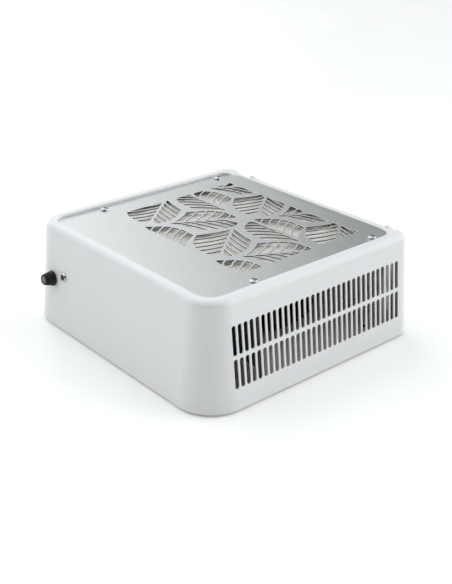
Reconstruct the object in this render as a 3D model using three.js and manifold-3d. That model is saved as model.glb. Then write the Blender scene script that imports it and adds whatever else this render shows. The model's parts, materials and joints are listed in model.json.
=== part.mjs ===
// Table-top nail dust collector, in millimetres, +Z up.
// -Y is the user's side with the hand rest, +Y the rear wall with the speed knob and the power socket.
// Air enters through the leaf-cut top plate, passes the pleated filter and the fan, and leaves
// through the slot rows in the two side walls.
import * as THREE from 'three';
import { mergeVertices } from 'three/addons/utils/BufferGeometryUtils.js';
import Module from 'manifold-3d';

const wasm = await Module();
wasm.setup();

// ---------- driving dimensions ----------
const GAP = 0.3;                    // between neighbouring pieces
const FOOT_HEIGHT = 2;              // feet stand proud of the housing's lower edge
const CENTRE_Y = 4.77;              // housing centre, so that the origin is under the middle of it all

const HALF_WIDTH = 139;             // housing at its lower edge
const HALF_DEPTH = 128;
const RIM_TOP = 100.4;
const WALL = 3;
const SIDE_DRAFT = 0.1;             // side and rear walls lean in by this much per mm of height
const FRONT_DRAFT = 0.02;
const REAR_CORNER = 36;             // corner radii at the lower edge
const FRONT_CORNER = 17;
const REAR_CORNER_TAPER = 0.1;      // both radii get smaller towards the rim
const FRONT_CORNER_TAPER = 0.05;
const RIM_FILLET = 6;

const PLATE_TOP = 97.4;             // grille plate, sunk below the rim
const PLATE_THICKNESS = 1.2;
const PLATE_HALF_WIDTH = 117.6;
const PLATE_REAR = 107;
const PLATE_FRONT = 118.6;
const PLATE_REAR_CORNER = 14;
const PLATE_FRONT_CORNER = 20;
const TOP_DECK = PLATE_TOP - PLATE_THICKNESS - 0.2;
const RIM_GAP = { half: 105, ramp: 15 };   // the rim slopes down to the deck on both sides of its gap

const PATTERN = { x: 91.5, rear: 50, front: 95.5 };   // window that holds the leaf cut-outs
const SCREW_X = 110.3;              // grille screws
const SCREW_REAR_Y = 52.3;
const SCREW_FRONT_Y = -93.9;

const SLOT_COUNT = 32;              // exhaust slots in each row
const SLOT_PITCH = 6.4;
const SLOT_WIDTH = 4;
const SLOT_FIRST_Y = 92.4;
const SLOT_ROWS = [[21.5, 47.8], [51.1, 77.6]];
const SLOT_WALL = 1.4;              // the side walls are thinned to this round the slots
const SLOT_FIELD = { front: 110, rear: 95.5, low: 18.5, high: 80.5 };

const CHAMBER_Y = -21.5;            // centre of filter, fan and motor
const FILTER_HALF_X = 96.5;
const FILTER_HALF_Y = 79.5;
const FILTER_TOP = 94;
const DECK_BOTTOM = 79;
const DECK_TOP = 82;
const PARTITION_Y = 62;

const KNOB = { x: 97, z: 49.2, skirt: 7.4, grip: 6.6, front: 5.1, height: 10.6 };
const SOCKET = { x: 77.6, z: 56.3, barrel: 3.7, ring: 4.3 };

const REST = { halfLength: 95, back: 130.6, reach: 12.9, halfHeight: 13, z: 80.8, bar: 3.2 };
const REST_CAP = { width: 3, margin: 0.6, lip: 0.3, knobBack: 131.3, knobTop: 15.6, knobRadius: 2.4 };
const TAU = Math.PI * 2;

// ---------- materials ----------
const look = (color, roughness, metalness = 0) =>
  new THREE.MeshStandardMaterial({ color, roughness, metalness });
const WHITE_ABS = look(0xe9ebec, 0.3);
const BLACK_ABS = look(0x1b1c1e, 0.45);
const GREY_ABS = look(0xcdc9bf, 0.5);
const STAINLESS = look(0xb9bcbd, 0.35, 1);
const CHROME = look(0xd8dadc, 0.15, 1);
const BRASS = look(0xb8975a, 0.35, 1);
const PAPER = look(0xd9d4c6, 0.95);
const FOAM = look(0x2a2a2c, 0.95);
const RUBBER = look(0x1d1d1f, 0.8);
const COPPER = look(0xa8572a, 0.4, 1);
const STEEL = look(0x8f9295, 0.4, 1);
const PCB_GREEN = look(0x1d5b3a, 0.5);
const LEATHER = look(0xe6e6e4, 0.55);
const SILVER_GREY = look(0x7d8083, 0.35, 0.6);

// ---------- solid helpers ----------
const merged = (geometry) => {
  geometry.deleteAttribute('normal');
  geometry.deleteAttribute('uv');
  return mergeVertices(geometry, 1e-4);
};

const toSolid = (geometry) => {
  const clean = merged(geometry.clone());
  return new wasm.Manifold(new wasm.Mesh({
    numProp: 3,
    vertProperties: new Float32Array(clean.attributes.position.array),
    triVerts: new Uint32Array(clean.index.array),
  }));
};

const toGeometry = (solid) => {
  const mesh = solid.getMesh();
  const geometry = new THREE.BufferGeometry();
  geometry.setAttribute('position', new THREE.BufferAttribute(new Float32Array(mesh.vertProperties), 3));
  geometry.setIndex(new THREE.BufferAttribute(new Uint32Array(mesh.triVerts), 1));
  return geometry;
};

const joined = (solids) => solids.reduce((all, next) => all.add(next));
const cut = (body, tools) => (tools.length ? body.subtract(joined(tools)) : body);

const product = new THREE.Group();
product.position.y = CENTRE_Y;

const add = (name, shape, material, place = () => {}) => {
  const geometry = shape.isBufferGeometry ? shape : toGeometry(shape);
  const mesh = new THREE.Mesh(geometry, material.clone());
  mesh.name = name;
  place(mesh);
  product.add(mesh);
  return mesh;
};

// ---------- shape helpers ----------
const arc = (cx, cy, radius, from, to, steps) =>
  Array.from({ length: steps + 1 }, (_, i) => {
    const a = THREE.MathUtils.degToRad(from + ((to - from) * i) / steps);
    return new THREE.Vector2(cx + radius * Math.cos(a), cy + radius * Math.sin(a));
  });

// Rounded rectangle, counter-clockwise from the front right corner.
const roundedOutline = ({ x, rear, front, rearRadius, frontRadius }, steps) => [
  ...arc(x - frontRadius, -front + frontRadius, frontRadius, -90, 0, steps),
  ...arc(x - rearRadius, rear - rearRadius, rearRadius, 0, 90, steps),
  ...arc(-x + rearRadius, rear - rearRadius, rearRadius, 90, 180, steps),
  ...arc(-x + frontRadius, -front + frontRadius, frontRadius, 180, 270, steps),
];

// Closed solid through convex outlines of equal length, each at its own height.
const loft = (rings) => {
  const count = rings[0].outline.length;
  const positions = rings.flatMap(({ outline, z }) => outline.flatMap((p) => [p.x, p.y, z]));
  const index = [];
  for (let level = 0; level < rings.length - 1; level += 1) {
    for (let i = 0; i < count; i += 1) {
      const a = level * count + i;
      const b = level * count + ((i + 1) % count);
      index.push(a, b, b + count, a, b + count, a + count);
    }
  }
  const last = (rings.length - 1) * count;
  for (let i = 1; i < count - 1; i += 1) {
    index.push(0, i + 1, i);
    index.push(last, last + i, last + i + 1);
  }
  const geometry = new THREE.BufferGeometry();
  geometry.setAttribute('position', new THREE.Float32BufferAttribute(positions, 3));
  geometry.setIndex(index);
  return geometry;
};

const prism = (outline, z0, z1, holes = []) => {
  const shape = new THREE.Shape(outline);
  holes.forEach((hole) => shape.holes.push(new THREE.Path(hole)));
  const geometry = new THREE.ExtrudeGeometry(shape, { depth: z1 - z0, bevelEnabled: false });
  return geometry.translate(0, 0, z0);
};

const circle = (cx, cy, radius, steps = 24) => arc(cx, cy, radius, 0, 360, steps).slice(0, -1);
const disc = (cx, cy, radius, z0, z1, steps = 24) => prism(circle(cx, cy, radius, steps), z0, z1);
const block = (x0, x1, y0, y1, z0, z1) =>
  new THREE.BoxGeometry(x1 - x0, y1 - y0, z1 - z0)
    .translate((x0 + x1) / 2, (y0 + y1) / 2, (z0 + z1) / 2);

// Turned piece about Z. The profile runs from [radius, z] to [radius, z].
const turned = (profile, steps = 24) => {
  const points = profile.map(([r, z]) => new THREE.Vector2(r, z));
  return new THREE.LatheGeometry(points, steps).rotateX(Math.PI / 2);
};
const closedRing = (profile, steps) => turned([...profile, profile[0]], steps);
const ring = (inner, outer, z0, z1, steps = 24) =>
  closedRing([[inner, z0], [outer, z0], [outer, z1], [inner, z1]], steps);

const smoothPath = (points) => new THREE.CatmullRomCurve3(points.map((p) => new THREE.Vector3(...p)));
const cable = (points, radius, steps = 18) => {
  const section = new THREE.Shape(circle(0, 0, radius, 8));
  return new THREE.ExtrudeGeometry(section, {
    steps, bevelEnabled: false, extrudePath: smoothPath(points),
  });
};

// ---------- housing ----------
const housingSection = (z, inset) => {
  const rise = z - FOOT_HEIGHT;
  const side = SIDE_DRAFT * rise + inset;
  return {
    x: HALF_WIDTH - side,
    rear: HALF_DEPTH - side,
    front: HALF_DEPTH - FRONT_DRAFT * rise - inset,
    rearRadius: REAR_CORNER - REAR_CORNER_TAPER * rise - inset,
    frontRadius: FRONT_CORNER - FRONT_CORNER_TAPER * rise - inset,
  };
};
const housingRing = (z, inset, steps = 6) => ({ outline: roundedOutline(housingSection(z, inset), steps), z });

const plateOutline = (clearance) => roundedOutline({
  x: PLATE_HALF_WIDTH + clearance,
  rear: PLATE_REAR + clearance,
  front: PLATE_FRONT + clearance,
  rearRadius: PLATE_REAR_CORNER + clearance,
  frontRadius: PLATE_FRONT_CORNER + clearance,
}, 6);

const rearWallY = (z) => HALF_DEPTH - SIDE_DRAFT * (z - FOOT_HEIGHT);
const frontWallY = (z) => -HALF_DEPTH + FRONT_DRAFT * (z - FOOT_HEIGHT);
const REAR_TILT = Math.atan(SIDE_DRAFT);

// Places a piece turned about Z so that its axis stands square on the rear wall, pointing out.
const onRearWall = (x, z) => (mesh) => {
  mesh.position.set(x, rearWallY(z), z);
  mesh.rotation.x = -Math.PI / 2 + REAR_TILT;
};
const rearWallTool = (geometry, x, z) => toSolid(
  geometry.rotateX(-Math.PI / 2 + REAR_TILT).translate(x, rearWallY(z), z),
);

const slotOutline = (y, z0, z1) => {
  const r = SLOT_WIDTH / 2;
  return [...arc(y, z0 + r, r, 180, 360, 2), ...arc(y, z1 - r, r, 0, 180, 2)];
};

// Outline in the YZ plane, extruded along +X from x0.
const alongX = (outline, x0, x1) => prism(outline, x0, x1)
  .applyMatrix4(new THREE.Matrix4().makeBasis(
    new THREE.Vector3(0, 1, 0), new THREE.Vector3(0, 0, 1), new THREE.Vector3(1, 0, 0),
  ));

// Tool that opens the rim at the front. Its ends follow a smooth ramp.
const rimGapTool = () => {
  const rampEnd = Array.from({ length: 6 }, (_, i) => {
    const t = i / 5;
    const lift = RIM_TOP + GAP - TOP_DECK;
    return new THREE.Vector2(RIM_GAP.half + RIM_GAP.ramp * t, TOP_DECK + lift * t * t * (3 - 2 * t));
  });
  const top = RIM_TOP + 1;
  const outline = [
    ...rampEnd,
    new THREE.Vector2(RIM_GAP.half + RIM_GAP.ramp, top),
    new THREE.Vector2(-RIM_GAP.half - RIM_GAP.ramp, top),
    ...rampEnd.map((p) => new THREE.Vector2(-p.x, p.y)).reverse(),
  ];
  const front = HALF_DEPTH + 2;
  const depth = front - PLATE_FRONT + PLATE_FRONT_CORNER;
  return toSolid(prism(outline, front - depth, front).rotateX(Math.PI / 2));
};

// Tool that thins a side wall from inside, parallel to its drafted outer face.
const slotFieldRecess = (side) => toSolid(loft([SLOT_FIELD.low, SLOT_FIELD.high].map((z) => {
  const near = HALF_WIDTH - SIDE_DRAFT * (z - FOOT_HEIGHT) - SLOT_WALL;
  const [x0, x1] = side > 0 ? [near - WALL, near] : [-near, WALL - near];
  const { front, rear } = SLOT_FIELD;
  const outline = [[x0, -front], [x1, -front], [x1, rear], [x0, rear]];
  return { outline: outline.map(([x, y]) => new THREE.Vector2(x, y)), z };
})));

const sideSlots = (side) => SLOT_ROWS.flatMap(([z0, z1]) =>
  Array.from({ length: SLOT_COUNT }, (_, i) => {
    const outline = slotOutline(SLOT_FIRST_Y - i * SLOT_PITCH, z0, z1);
    const [near, far] = side > 0 ? [120, 145] : [-145, -120];
    return toSolid(alongX(outline, near, far));
  }));

const grilleScrewPlaces = [
  [SCREW_X, SCREW_REAR_Y], [-SCREW_X, SCREW_REAR_Y], [SCREW_X, SCREW_FRONT_Y], [-SCREW_X, SCREW_FRONT_Y],
];
const deckScrewPlaces = [[108, 32], [-108, 32], [108, -72], [-108, -72]];
const baseScrewPlaces = [[112, 97], [-112, 97], [120.5, -107], [-120.5, -107]];
const restScrewPlaces = [60, -60];
const REST_SCREW_Z = 74;

const makeHousing = () => {
  const filletRings = [1, 2, 3].map((step) => {
    const a = (step / 3) * (Math.PI / 2);
    const inset = RIM_FILLET * (1 - Math.cos(a));
    return housingRing(RIM_TOP - RIM_FILLET + RIM_FILLET * Math.sin(a), inset);
  });
  const outside = toSolid(loft([
    housingRing(FOOT_HEIGHT, 0.8),
    housingRing(FOOT_HEIGHT + 0.8, 0),
    housingRing(RIM_TOP - RIM_FILLET, 0),
    ...filletRings,
  ]));
  const inside = toSolid(loft([
    housingRing(FOOT_HEIGHT - 1, WALL),
    housingRing(TOP_DECK - WALL, WALL),
  ]));
  const shell = outside.subtract(inside);

  const bosses = [
    ...grilleScrewPlaces.map(([x, y]) => toSolid(disc(x, y, 5.2, 85, TOP_DECK - 1, 10))),
    ...deckScrewPlaces.map(([x, y]) => toSolid(disc(x, y, 4.5, DECK_TOP + GAP, TOP_DECK - 1, 10))),
    ...baseScrewPlaces.map(([x, y]) => toSolid(disc(x, y, 5, 5.6, TOP_DECK - 1, 10))),
  ];
  const openings = [
    toSolid(prism(plateOutline(0.3), TOP_DECK, RIM_TOP + 1)),
    rimGapTool(),
    toSolid(block(-FILTER_HALF_X - 1.3, FILTER_HALF_X + 1.3,
      CHAMBER_Y - FILTER_HALF_Y - 1.3, CHAMBER_Y + FILTER_HALF_Y + 1.3, 90, TOP_DECK + 1)),
    ...grilleScrewPlaces.map(([x, y]) => toSolid(disc(x, y, 3.3, 86.5, TOP_DECK + 1, 12))),
    ...deckScrewPlaces.map(([x, y]) => toSolid(disc(x, y, 1.6, DECK_TOP, 91.5, 8))),
    ...baseScrewPlaces.map(([x, y]) => toSolid(disc(x, y, 1.6, 5, 20, 8))),
    ...restScrewPlaces.map((x) => toSolid(disc(x, 0, 1.9, 0, 12, 8)
      .rotateX(Math.PI / 2).translate(0, -116, REST_SCREW_Z))),
    rearWallTool(disc(0, 0, 3.8, -8, 3, 16), KNOB.x, KNOB.z),
    rearWallTool(disc(0, 0, SOCKET.barrel + 0.2, -8, 3, 20), SOCKET.x, SOCKET.z),
    slotFieldRecess(1),
    slotFieldRecess(-1),
    ...sideSlots(1),
    ...sideSlots(-1),
  ];
  return cut(joined([shell, ...bosses]), openings);
};

add('upper_housing', makeHousing(), WHITE_ABS);

// ---------- base plate, feet, screws from below ----------
const BASE_BOTTOM = FOOT_HEIGHT + 0.3;
const BASE_TOP = BASE_BOTTOM + 2.5;
const footPlaces = [[103, 83], [-103, 83], [107, -95], [-107, -95]];
const BOARD = { x0: 14, x1: 88, y0: 70, y1: 106, z: 12 };
const boardPosts = [BOARD.x0 + 5, BOARD.x1 - 5].flatMap((x) => [[x, BOARD.y0 + 5], [x, BOARD.y1 - 5]]);
const MOTOR_SCREW_RADIUS = 40;
const motorScrewPlaces = [0, 1, 2].map((i) => {
  const a = (i / 3) * TAU + Math.PI / 2;
  return [MOTOR_SCREW_RADIUS * Math.cos(a), CHAMBER_Y + MOTOR_SCREW_RADIUS * Math.sin(a)];
});

const makeBasePlate = () => {
  const outline = roundedOutline(housingSection(BASE_TOP, WALL + 0.4), 6);
  const plate = toSolid(prism(outline, BASE_BOTTOM, BASE_TOP));
  const posts = boardPosts.map(([x, y]) => toSolid(disc(x, y, 3, BASE_TOP - 0.5, BOARD.z - 0.1, 8)));
  return cut(joined([plate, ...posts]), [
    ...footPlaces.map(([x, y]) => toSolid(disc(x, y, 3, 0, BASE_TOP + 1, 10))),
    ...baseScrewPlaces.map(([x, y]) => toSolid(disc(x, y, 1.9, 0, BASE_TOP + 1, 8))),
    ...motorScrewPlaces.map(([x, y]) => toSolid(disc(x, y, 1.9, 0, BASE_TOP + 1, 8))),
  ]);
};
add('base_plate', makeBasePlate(), GREY_ABS);

footPlaces.forEach(([x, y], i) => {
  const profile = [[0, 0], [7.4, 0], [8, 0.6], [8, BASE_BOTTOM - 0.1], [2.7, BASE_BOTTOM - 0.1],
    [2.7, BASE_TOP + 0.4], [0, BASE_TOP + 0.4]];
  add(`foot_${i + 1}`, turned(profile, 10), RUBBER, (m) => m.position.set(x, y, 0));
});

// Screw with its head up at z = 0 and its shank pointing down.
const screwProfile = (shank, length, head, headHeight) => [
  [0, -length], [shank * 0.7, -length], [shank, -length + 1], [shank, 0], [head, 0],
  [head, headHeight * 0.45], [head * 0.72, headHeight * 0.88], [0, headHeight],
];
const panScrew = (shank, length, head, headHeight, steps = 14) => {
  const blank = toSolid(turned(screwProfile(shank, length, head, headHeight), steps));
  const arm = head * 0.5;
  const slotDepth = headHeight * 0.55;
  const cross = [[arm, 0.4], [0.4, arm]].map(([x, y]) =>
    toSolid(block(-x, x, -y, y, headHeight - slotDepth, headHeight + 1)));
  return toGeometry(cut(blank, cross));
};
// Plain-headed screw for places that only a driver reaches.
const hiddenScrew = (shank, length, head, headHeight) =>
  turned([[0, -length], [shank, -length], [shank, 0], [head, 0], [head * 0.8, headHeight], [0, headHeight]], 8);
const headDown = (x, y, z) => (mesh) => {
  mesh.position.set(x, y, z);
  mesh.rotation.x = Math.PI;
};

baseScrewPlaces.forEach(([x, y], i) => {
  add(`base_screw_${i + 1}`, hiddenScrew(1.4, 10, 3, 1.6), STEEL, headDown(x, y, BASE_BOTTOM - 0.05));
});

// ---------- grille plate with its leaf cut-outs ----------
// Each leaf keeps an uncut mid-rib from base to tip, and thin curved ribs on both sides of it. The
// gaps between those ribs are cut through. side is +1 for the half left of the mid-rib seen from
// base to tip, -1 for the right half. from and to are the places along the mid-rib of the first and
// the last rib, gaps the cut-outs between them, reach the widest half-leaf, and lean how far a rib
// runs towards the tip for each mm sideways.
const LEAF_CELL = [[104, 0], [52, -92]];
const LEAVES = [
  {
    base: [3, -27],
    tip: [-57, 46],
    halves: [
      { side: -1, gaps: 6, from: 0.216, to: 0.864, reach: 30.5, lean: 0.66 },
      { side: 1, gaps: 6, from: 0.199, to: 0.835, reach: 21.5, lean: 1.15 },
    ],
  },
  {
    base: [43, 27],
    tip: [5, -38],
    halves: [
      { side: 1, gaps: 6, from: 0.09, to: 0.906, reach: 25, lean: 0.62 },
      { side: -1, gaps: 5, from: 0.031, to: 0.756, reach: 24, lean: 1 },
    ],
  },
  {
    base: [-78, -40],
    tip: [0, -41],
    halves: [
      { side: 1, gaps: 6, from: 0.057, to: 0.873, reach: 24, lean: 0.9 },
      { side: -1, gaps: 6, from: 0.124, to: 0.934, reach: 25.5, lean: 0.68 },
    ],
  },
];
const RIB_WIDTH = 1.5;
const RIB_STEPS = 3;
const RIB_CURL = 0.3;
const MID_RIB_HALF = 1.6;
const WIDEST = 0.33;                // place along the mid-rib where the leaf is widest
const NARROWING = 0.62;             // length along the mid-rib over which it narrows to nothing
const SMALLEST_GAP = 14;            // mm2; anything smaller stays uncut

const WINDOW_SIDES = [
  { axis: 'x', sign: 1, limit: PATTERN.x },
  { axis: 'x', sign: -1, limit: PATTERN.x },
  { axis: 'y', sign: 1, limit: PATTERN.rear },
  { axis: 'y', sign: -1, limit: PATTERN.front },
];
const clipToWindow = (outline) => WINDOW_SIDES.reduce((rest, { axis, sign, limit }) =>
  rest.flatMap((p, i) => {
    const q = rest[(i + 1) % rest.length];
    const [pOut, qOut] = [sign * p[axis] > limit, sign * q[axis] > limit];
    const kept = pOut ? [] : [p];
    const crossing = (sign * limit - p[axis]) / (q[axis] - p[axis]);
    return pOut === qOut ? kept : [...kept, p.clone().lerp(q, crossing)];
  }), outline);

// Centre line of the rib that leaves the mid-rib at `along`, from 0 there to 1 at the leaf's edge.
const ribCurve = (leaf, shift, { side, reach, lean }, along) => {
  const base = new THREE.Vector2(...leaf.base).add(shift);
  const axis = new THREE.Vector2(...leaf.tip).add(shift).sub(base);
  const length = axis.length();
  axis.normalize();
  const across = new THREE.Vector2(-axis.y, axis.x).multiplyScalar(side);
  const span = reach * Math.cos((Math.PI / 2) * (Math.max(0, along - WIDEST) / NARROWING));
  return (t) => {
    const forward = along * length + span * t * (lean + RIB_CURL * (1 - t));
    const out = MID_RIB_HALF + (span - MID_RIB_HALF) * t;
    return base.clone().addScaledVector(axis, forward).addScaledVector(across, out);
  };
};

// Edge of a gap along one of its two ribs. toTip is +1 on the rib nearer the base.
const ribEdge = (leaf, shift, half, along, toTip) => {
  const curve = ribCurve(leaf, shift, half, along);
  return Array.from({ length: RIB_STEPS + 1 }, (_, i) => {
    const t = i / RIB_STEPS;
    const ahead = curve(t + 0.02).sub(curve(t - 0.02)).normalize();
    const toGap = new THREE.Vector2(ahead.y, -ahead.x).multiplyScalar(half.side * toTip);
    return curve(t).addScaledVector(toGap, RIB_WIDTH / 2);
  });
};

const gapOutline = (leaf, shift, half, k) => {
  const place = (step) => half.from + ((half.to - half.from) * step) / half.gaps;
  const outline = clipToWindow([
    ...ribEdge(leaf, shift, half, place(k), 1),
    ...ribEdge(leaf, shift, half, place(k + 1), -1).reverse(),
  ]);
  if (outline.length < 3) return null;
  const area = THREE.ShapeUtils.area(outline);
  if (Math.abs(area) < SMALLEST_GAP) return null;
  return area > 0 ? outline : outline.reverse();
};

const leafOutlines = () => {
  const outlines = [];
  const steps = [-2, -1, 0, 1, 2];
  steps.forEach((i) => steps.forEach((j) => {
    const shift = new THREE.Vector2(
      i * LEAF_CELL[0][0] + j * LEAF_CELL[1][0], i * LEAF_CELL[0][1] + j * LEAF_CELL[1][1],
    );
    LEAVES.forEach((leaf) => leaf.halves.forEach((half) => {
      for (let k = 0; k < half.gaps; k += 1) {
        const outline = gapOutline(leaf, shift, half, k);
        if (outline) outlines.push(outline);
      }
    }));
  }));
  return outlines;
};

const makeGrille = () => {
  const bottom = PLATE_TOP - PLATE_THICKNESS;
  const plate = toSolid(prism(plateOutline(0), bottom, PLATE_TOP));
  const holes = grilleScrewPlaces.map(([x, y]) => toSolid(disc(x, y, 2.2, bottom - 1, PLATE_TOP + 1, 14)));
  const veins = leafOutlines().map((outline) => toSolid(prism(outline, bottom - 1, PLATE_TOP + 1)));
  return cut(plate, [...holes, ...veins]);
};
add('grille_plate', makeGrille(), STAINLESS);

grilleScrewPlaces.forEach(([x, y], i) => {
  add(`grille_screw_${i + 1}`, panScrew(1.9, 9, 3.9, 2.4, 12), CHROME,
    (m) => m.position.set(x, y, PLATE_TOP + 0.05));
  add(`grille_insert_${i + 1}`, ring(2.1, 3, 88, TOP_DECK - 0.3, 12), BRASS,
    (m) => m.position.set(x, y, 0));
});

// ---------- filter ----------
const FILTER_BOTTOM = 84.2;
const FRAME_WALL = 4;
const rectOutline = (halfX, halfY, cy) => [
  new THREE.Vector2(-halfX, cy - halfY), new THREE.Vector2(halfX, cy - halfY),
  new THREE.Vector2(halfX, cy + halfY), new THREE.Vector2(-halfX, cy + halfY),
];
const rectRing = (halfX, halfY, wall, z0, z1) => prism(
  rectOutline(halfX, halfY, CHAMBER_Y), z0, z1, [rectOutline(halfX - wall, halfY - wall, CHAMBER_Y).reverse()],
);
add('filter_frame', rectRing(FILTER_HALF_X, FILTER_HALF_Y, FRAME_WALL, FILTER_BOTTOM, FILTER_TOP), PAPER);
add('filter_gasket', rectRing(FILTER_HALF_X, FILTER_HALF_Y, 9, DECK_TOP + 0.1, FILTER_BOTTOM - 0.1), FOAM);

const makePleats = () => {
  const halfX = FILTER_HALF_X - FRAME_WALL - GAP;
  const halfY = FILTER_HALF_Y - FRAME_WALL - GAP;
  const pleats = 30;
  const thickness = 1.3;
  const low = FILTER_BOTTOM + 0.4;
  const high = FILTER_TOP - 0.6 - thickness;
  const crest = Array.from({ length: 2 * pleats + 1 }, (_, i) =>
    new THREE.Vector2(-halfX + (i * halfX) / pleats, i % 2 ? high : low));
  const back = crest.map((p) => new THREE.Vector2(p.x, p.y + thickness)).reverse();
  const sheet = prism([...crest, ...back], -halfY, halfY);
  return sheet.rotateX(Math.PI / 2).translate(0, CHAMBER_Y, 0);
};
add('filter_media', makePleats(), PAPER);

// ---------- fan deck and inlet ring ----------
const THROAT = 57;
const makeFanDeck = () => {
  const section = housingSection(DECK_TOP, WALL + 0.6);
  const deckOutline = roundedOutline({ ...section, rear: PARTITION_Y + 2.5, rearRadius: 0.5 }, 3);
  const deck = toSolid(prism(deckOutline, DECK_BOTTOM, DECK_TOP));
  const low = housingSection(6, WALL + 0.8).x;
  const partition = prism([
    new THREE.Vector2(-low, 5.4), new THREE.Vector2(low, 5.4),
    new THREE.Vector2(section.x, DECK_TOP - 1), new THREE.Vector2(-section.x, DECK_TOP - 1),
  ], 0, 2.5).rotateX(Math.PI / 2).translate(0, PARTITION_Y + 2.5, 0);
  return cut(deck.add(toSolid(partition)), [
    toSolid(disc(0, CHAMBER_Y, THROAT, DECK_BOTTOM - 1, DECK_TOP + 1, 32)),
    ...deckScrewPlaces.map(([x, y]) => toSolid(disc(x, y, 1.8, DECK_BOTTOM - 1, DECK_TOP + 1, 8))),
    ...baseScrewPlaces.slice(2).map(([x, y]) => toSolid(disc(x, y, 6, DECK_BOTTOM - 1, DECK_TOP + 1, 10))),
    toSolid(block(36, 44, PARTITION_Y - 1, PARTITION_Y + 4, 5, 15)),
  ]);
};
add('fan_deck', makeFanDeck(), GREY_ABS);
deckScrewPlaces.forEach(([x, y], i) => {
  add(`deck_screw_${i + 1}`, hiddenScrew(1.4, 10, 3, 1.6), STEEL, headDown(x, y, DECK_BOTTOM - 0.05));
});

add('inlet_ring', closedRing([
  [50, 70.8], [52, 70.8], [53.2, 76], [55.8, DECK_TOP + 0.1], [63, DECK_TOP + 0.1], [63, DECK_TOP + 1.4],
  [57, DECK_TOP + 1.4], [53, 80.4], [51, 76.4],
], 28), BLACK_ABS, (m) => m.position.set(0, CHAMBER_Y, 0));

// ---------- impeller ----------
const BLADES = 9;
const IMPELLER_RADIUS = 78;
const BACK_PLATE = 18;              // underside of the plate that carries the blades
const HUB_CUP = 37.5;               // inner radius of the cup over the rotor can

const bladeOutline = () => {
  const steps = 4;
  const swept = (t, offset) => {
    const r = 42 + (IMPELLER_RADIUS - 43) * t;
    const a = -0.62 * t + offset / r;
    return new THREE.Vector2(r * Math.cos(a), r * Math.sin(a));
  };
  const edge = (offset) => Array.from({ length: steps + 1 }, (_, i) => swept(i / steps, offset));
  return [...edge(-0.9), ...edge(0.9).reverse()];
};

const makeImpeller = () => {
  const hub = toSolid(turned([
    [0, 57], [2.8, 57], [2.8, 48], [6.7, 48], [6.7, 40], [HUB_CUP, 40], [HUB_CUP, BACK_PLATE],
    [IMPELLER_RADIUS, BACK_PLATE], [IMPELLER_RADIUS, BACK_PLATE + 2], [HUB_CUP + 2, BACK_PLATE + 2],
    [HUB_CUP + 2, 42], [35, 44], [26, 47], [17, 55], [9, 61], [0, 62.5],
  ], 24));
  const shroud = toSolid(closedRing([
    [54, 72.6], [IMPELLER_RADIUS, 66.8], [IMPELLER_RADIUS, 68.6], [56.5, 74.2], [54.5, 74.4],
  ], 24));
  const blades = Array.from({ length: BLADES }, (_, i) =>
    toSolid(prism(bladeOutline(), BACK_PLATE + 1, 74).rotateZ((i / BLADES) * TAU)));
  const envelope = toSolid(turned([
    [0, BACK_PLATE + 0.5], [IMPELLER_RADIUS - 0.2, BACK_PLATE + 0.5], [IMPELLER_RADIUS - 0.2, 67.6],
    [55.5, 73.3], [54.6, 72.8], [54, 68.5], [42, 60], [0, 60],
  ], 24));
  return joined([hub, shroud, joined(blades).intersect(envelope)]);
};
const atFan = (m) => m.position.set(0, CHAMBER_Y, 0);
add('impeller', makeImpeller(), BLACK_ABS, atFan);

// ---------- motor ----------
add('rotor_can', closedRing([
  [36, 12.6], [36, 37], [35, 38], [6.3, 38], [6.3, 47], [2.7, 47], [2.7, 35.8], [33.6, 35.8], [33.6, 12.6],
], 24), STEEL, atFan);
add('rotor_magnet', ring(30.8, 33.3, 13.2, 30.5, 20), FOAM, atFan);
add('motor_shaft', turned([
  [0, 9], [2, 9], [2.5, 9.6], [2.5, 55.4], [2, 56], [0, 56],
], 14), STEEL, atFan);
const bearingProfile = (z) => [[2.7, z], [7.9, z], [7.9, z + 5], [2.7, z + 5]];
add('bearing_lower', closedRing(bearingProfile(10.4), 18), CHROME, atFan);
add('bearing_upper', closedRing(bearingProfile(27.4), 18), CHROME, atFan);

const TEETH = 9;
const CORE_BOTTOM = 17;
const CORE_TOP = 28;
const coreOutline = () => {
  const points = [];
  for (let i = 0; i < TEETH; i += 1) {
    const middle = (i / TEETH) * 360;
    points.push(...arc(0, 0, 16, middle - 17, middle - 9, 1));
    points.push(...arc(0, 0, 26.5, middle - 5.6, middle - 5.6, 1).slice(0, 1));
    points.push(...arc(0, 0, 30, middle - 17, middle + 17, 3));
    points.push(...arc(0, 0, 26.5, middle + 5.6, middle + 5.6, 1).slice(0, 1));
    points.push(...arc(0, 0, 16, middle + 9, middle + 17, 1));
  }
  return points;
};
add('stator_core', prism(coreOutline(), CORE_BOTTOM, CORE_TOP, [circle(0, 0, 10.9, 24).reverse()]), STEEL, atFan);

const makeWinding = () => {
  const body = toSolid(closedRing([
    [17, 15], [18, 13.6], [25, 13.6], [26, 15], [26, 30], [25, 31.4], [18, 31.4], [17, 30],
  ], 18));
  const tooth = () => toSolid(prism([
    ...arc(0, 0, 14, -14, 14, 2), ...arc(0, 0, 34, 7, -7, 2),
  ].reverse(), CORE_BOTTOM - 0.3, CORE_TOP + 0.3));
  const teeth = Array.from({ length: TEETH }, (_, i) => tooth().rotate([0, 0, (i / TEETH) * 360]));
  return cut(body, teeth);
};
add('stator_winding', makeWinding(), COPPER, atFan);

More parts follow.
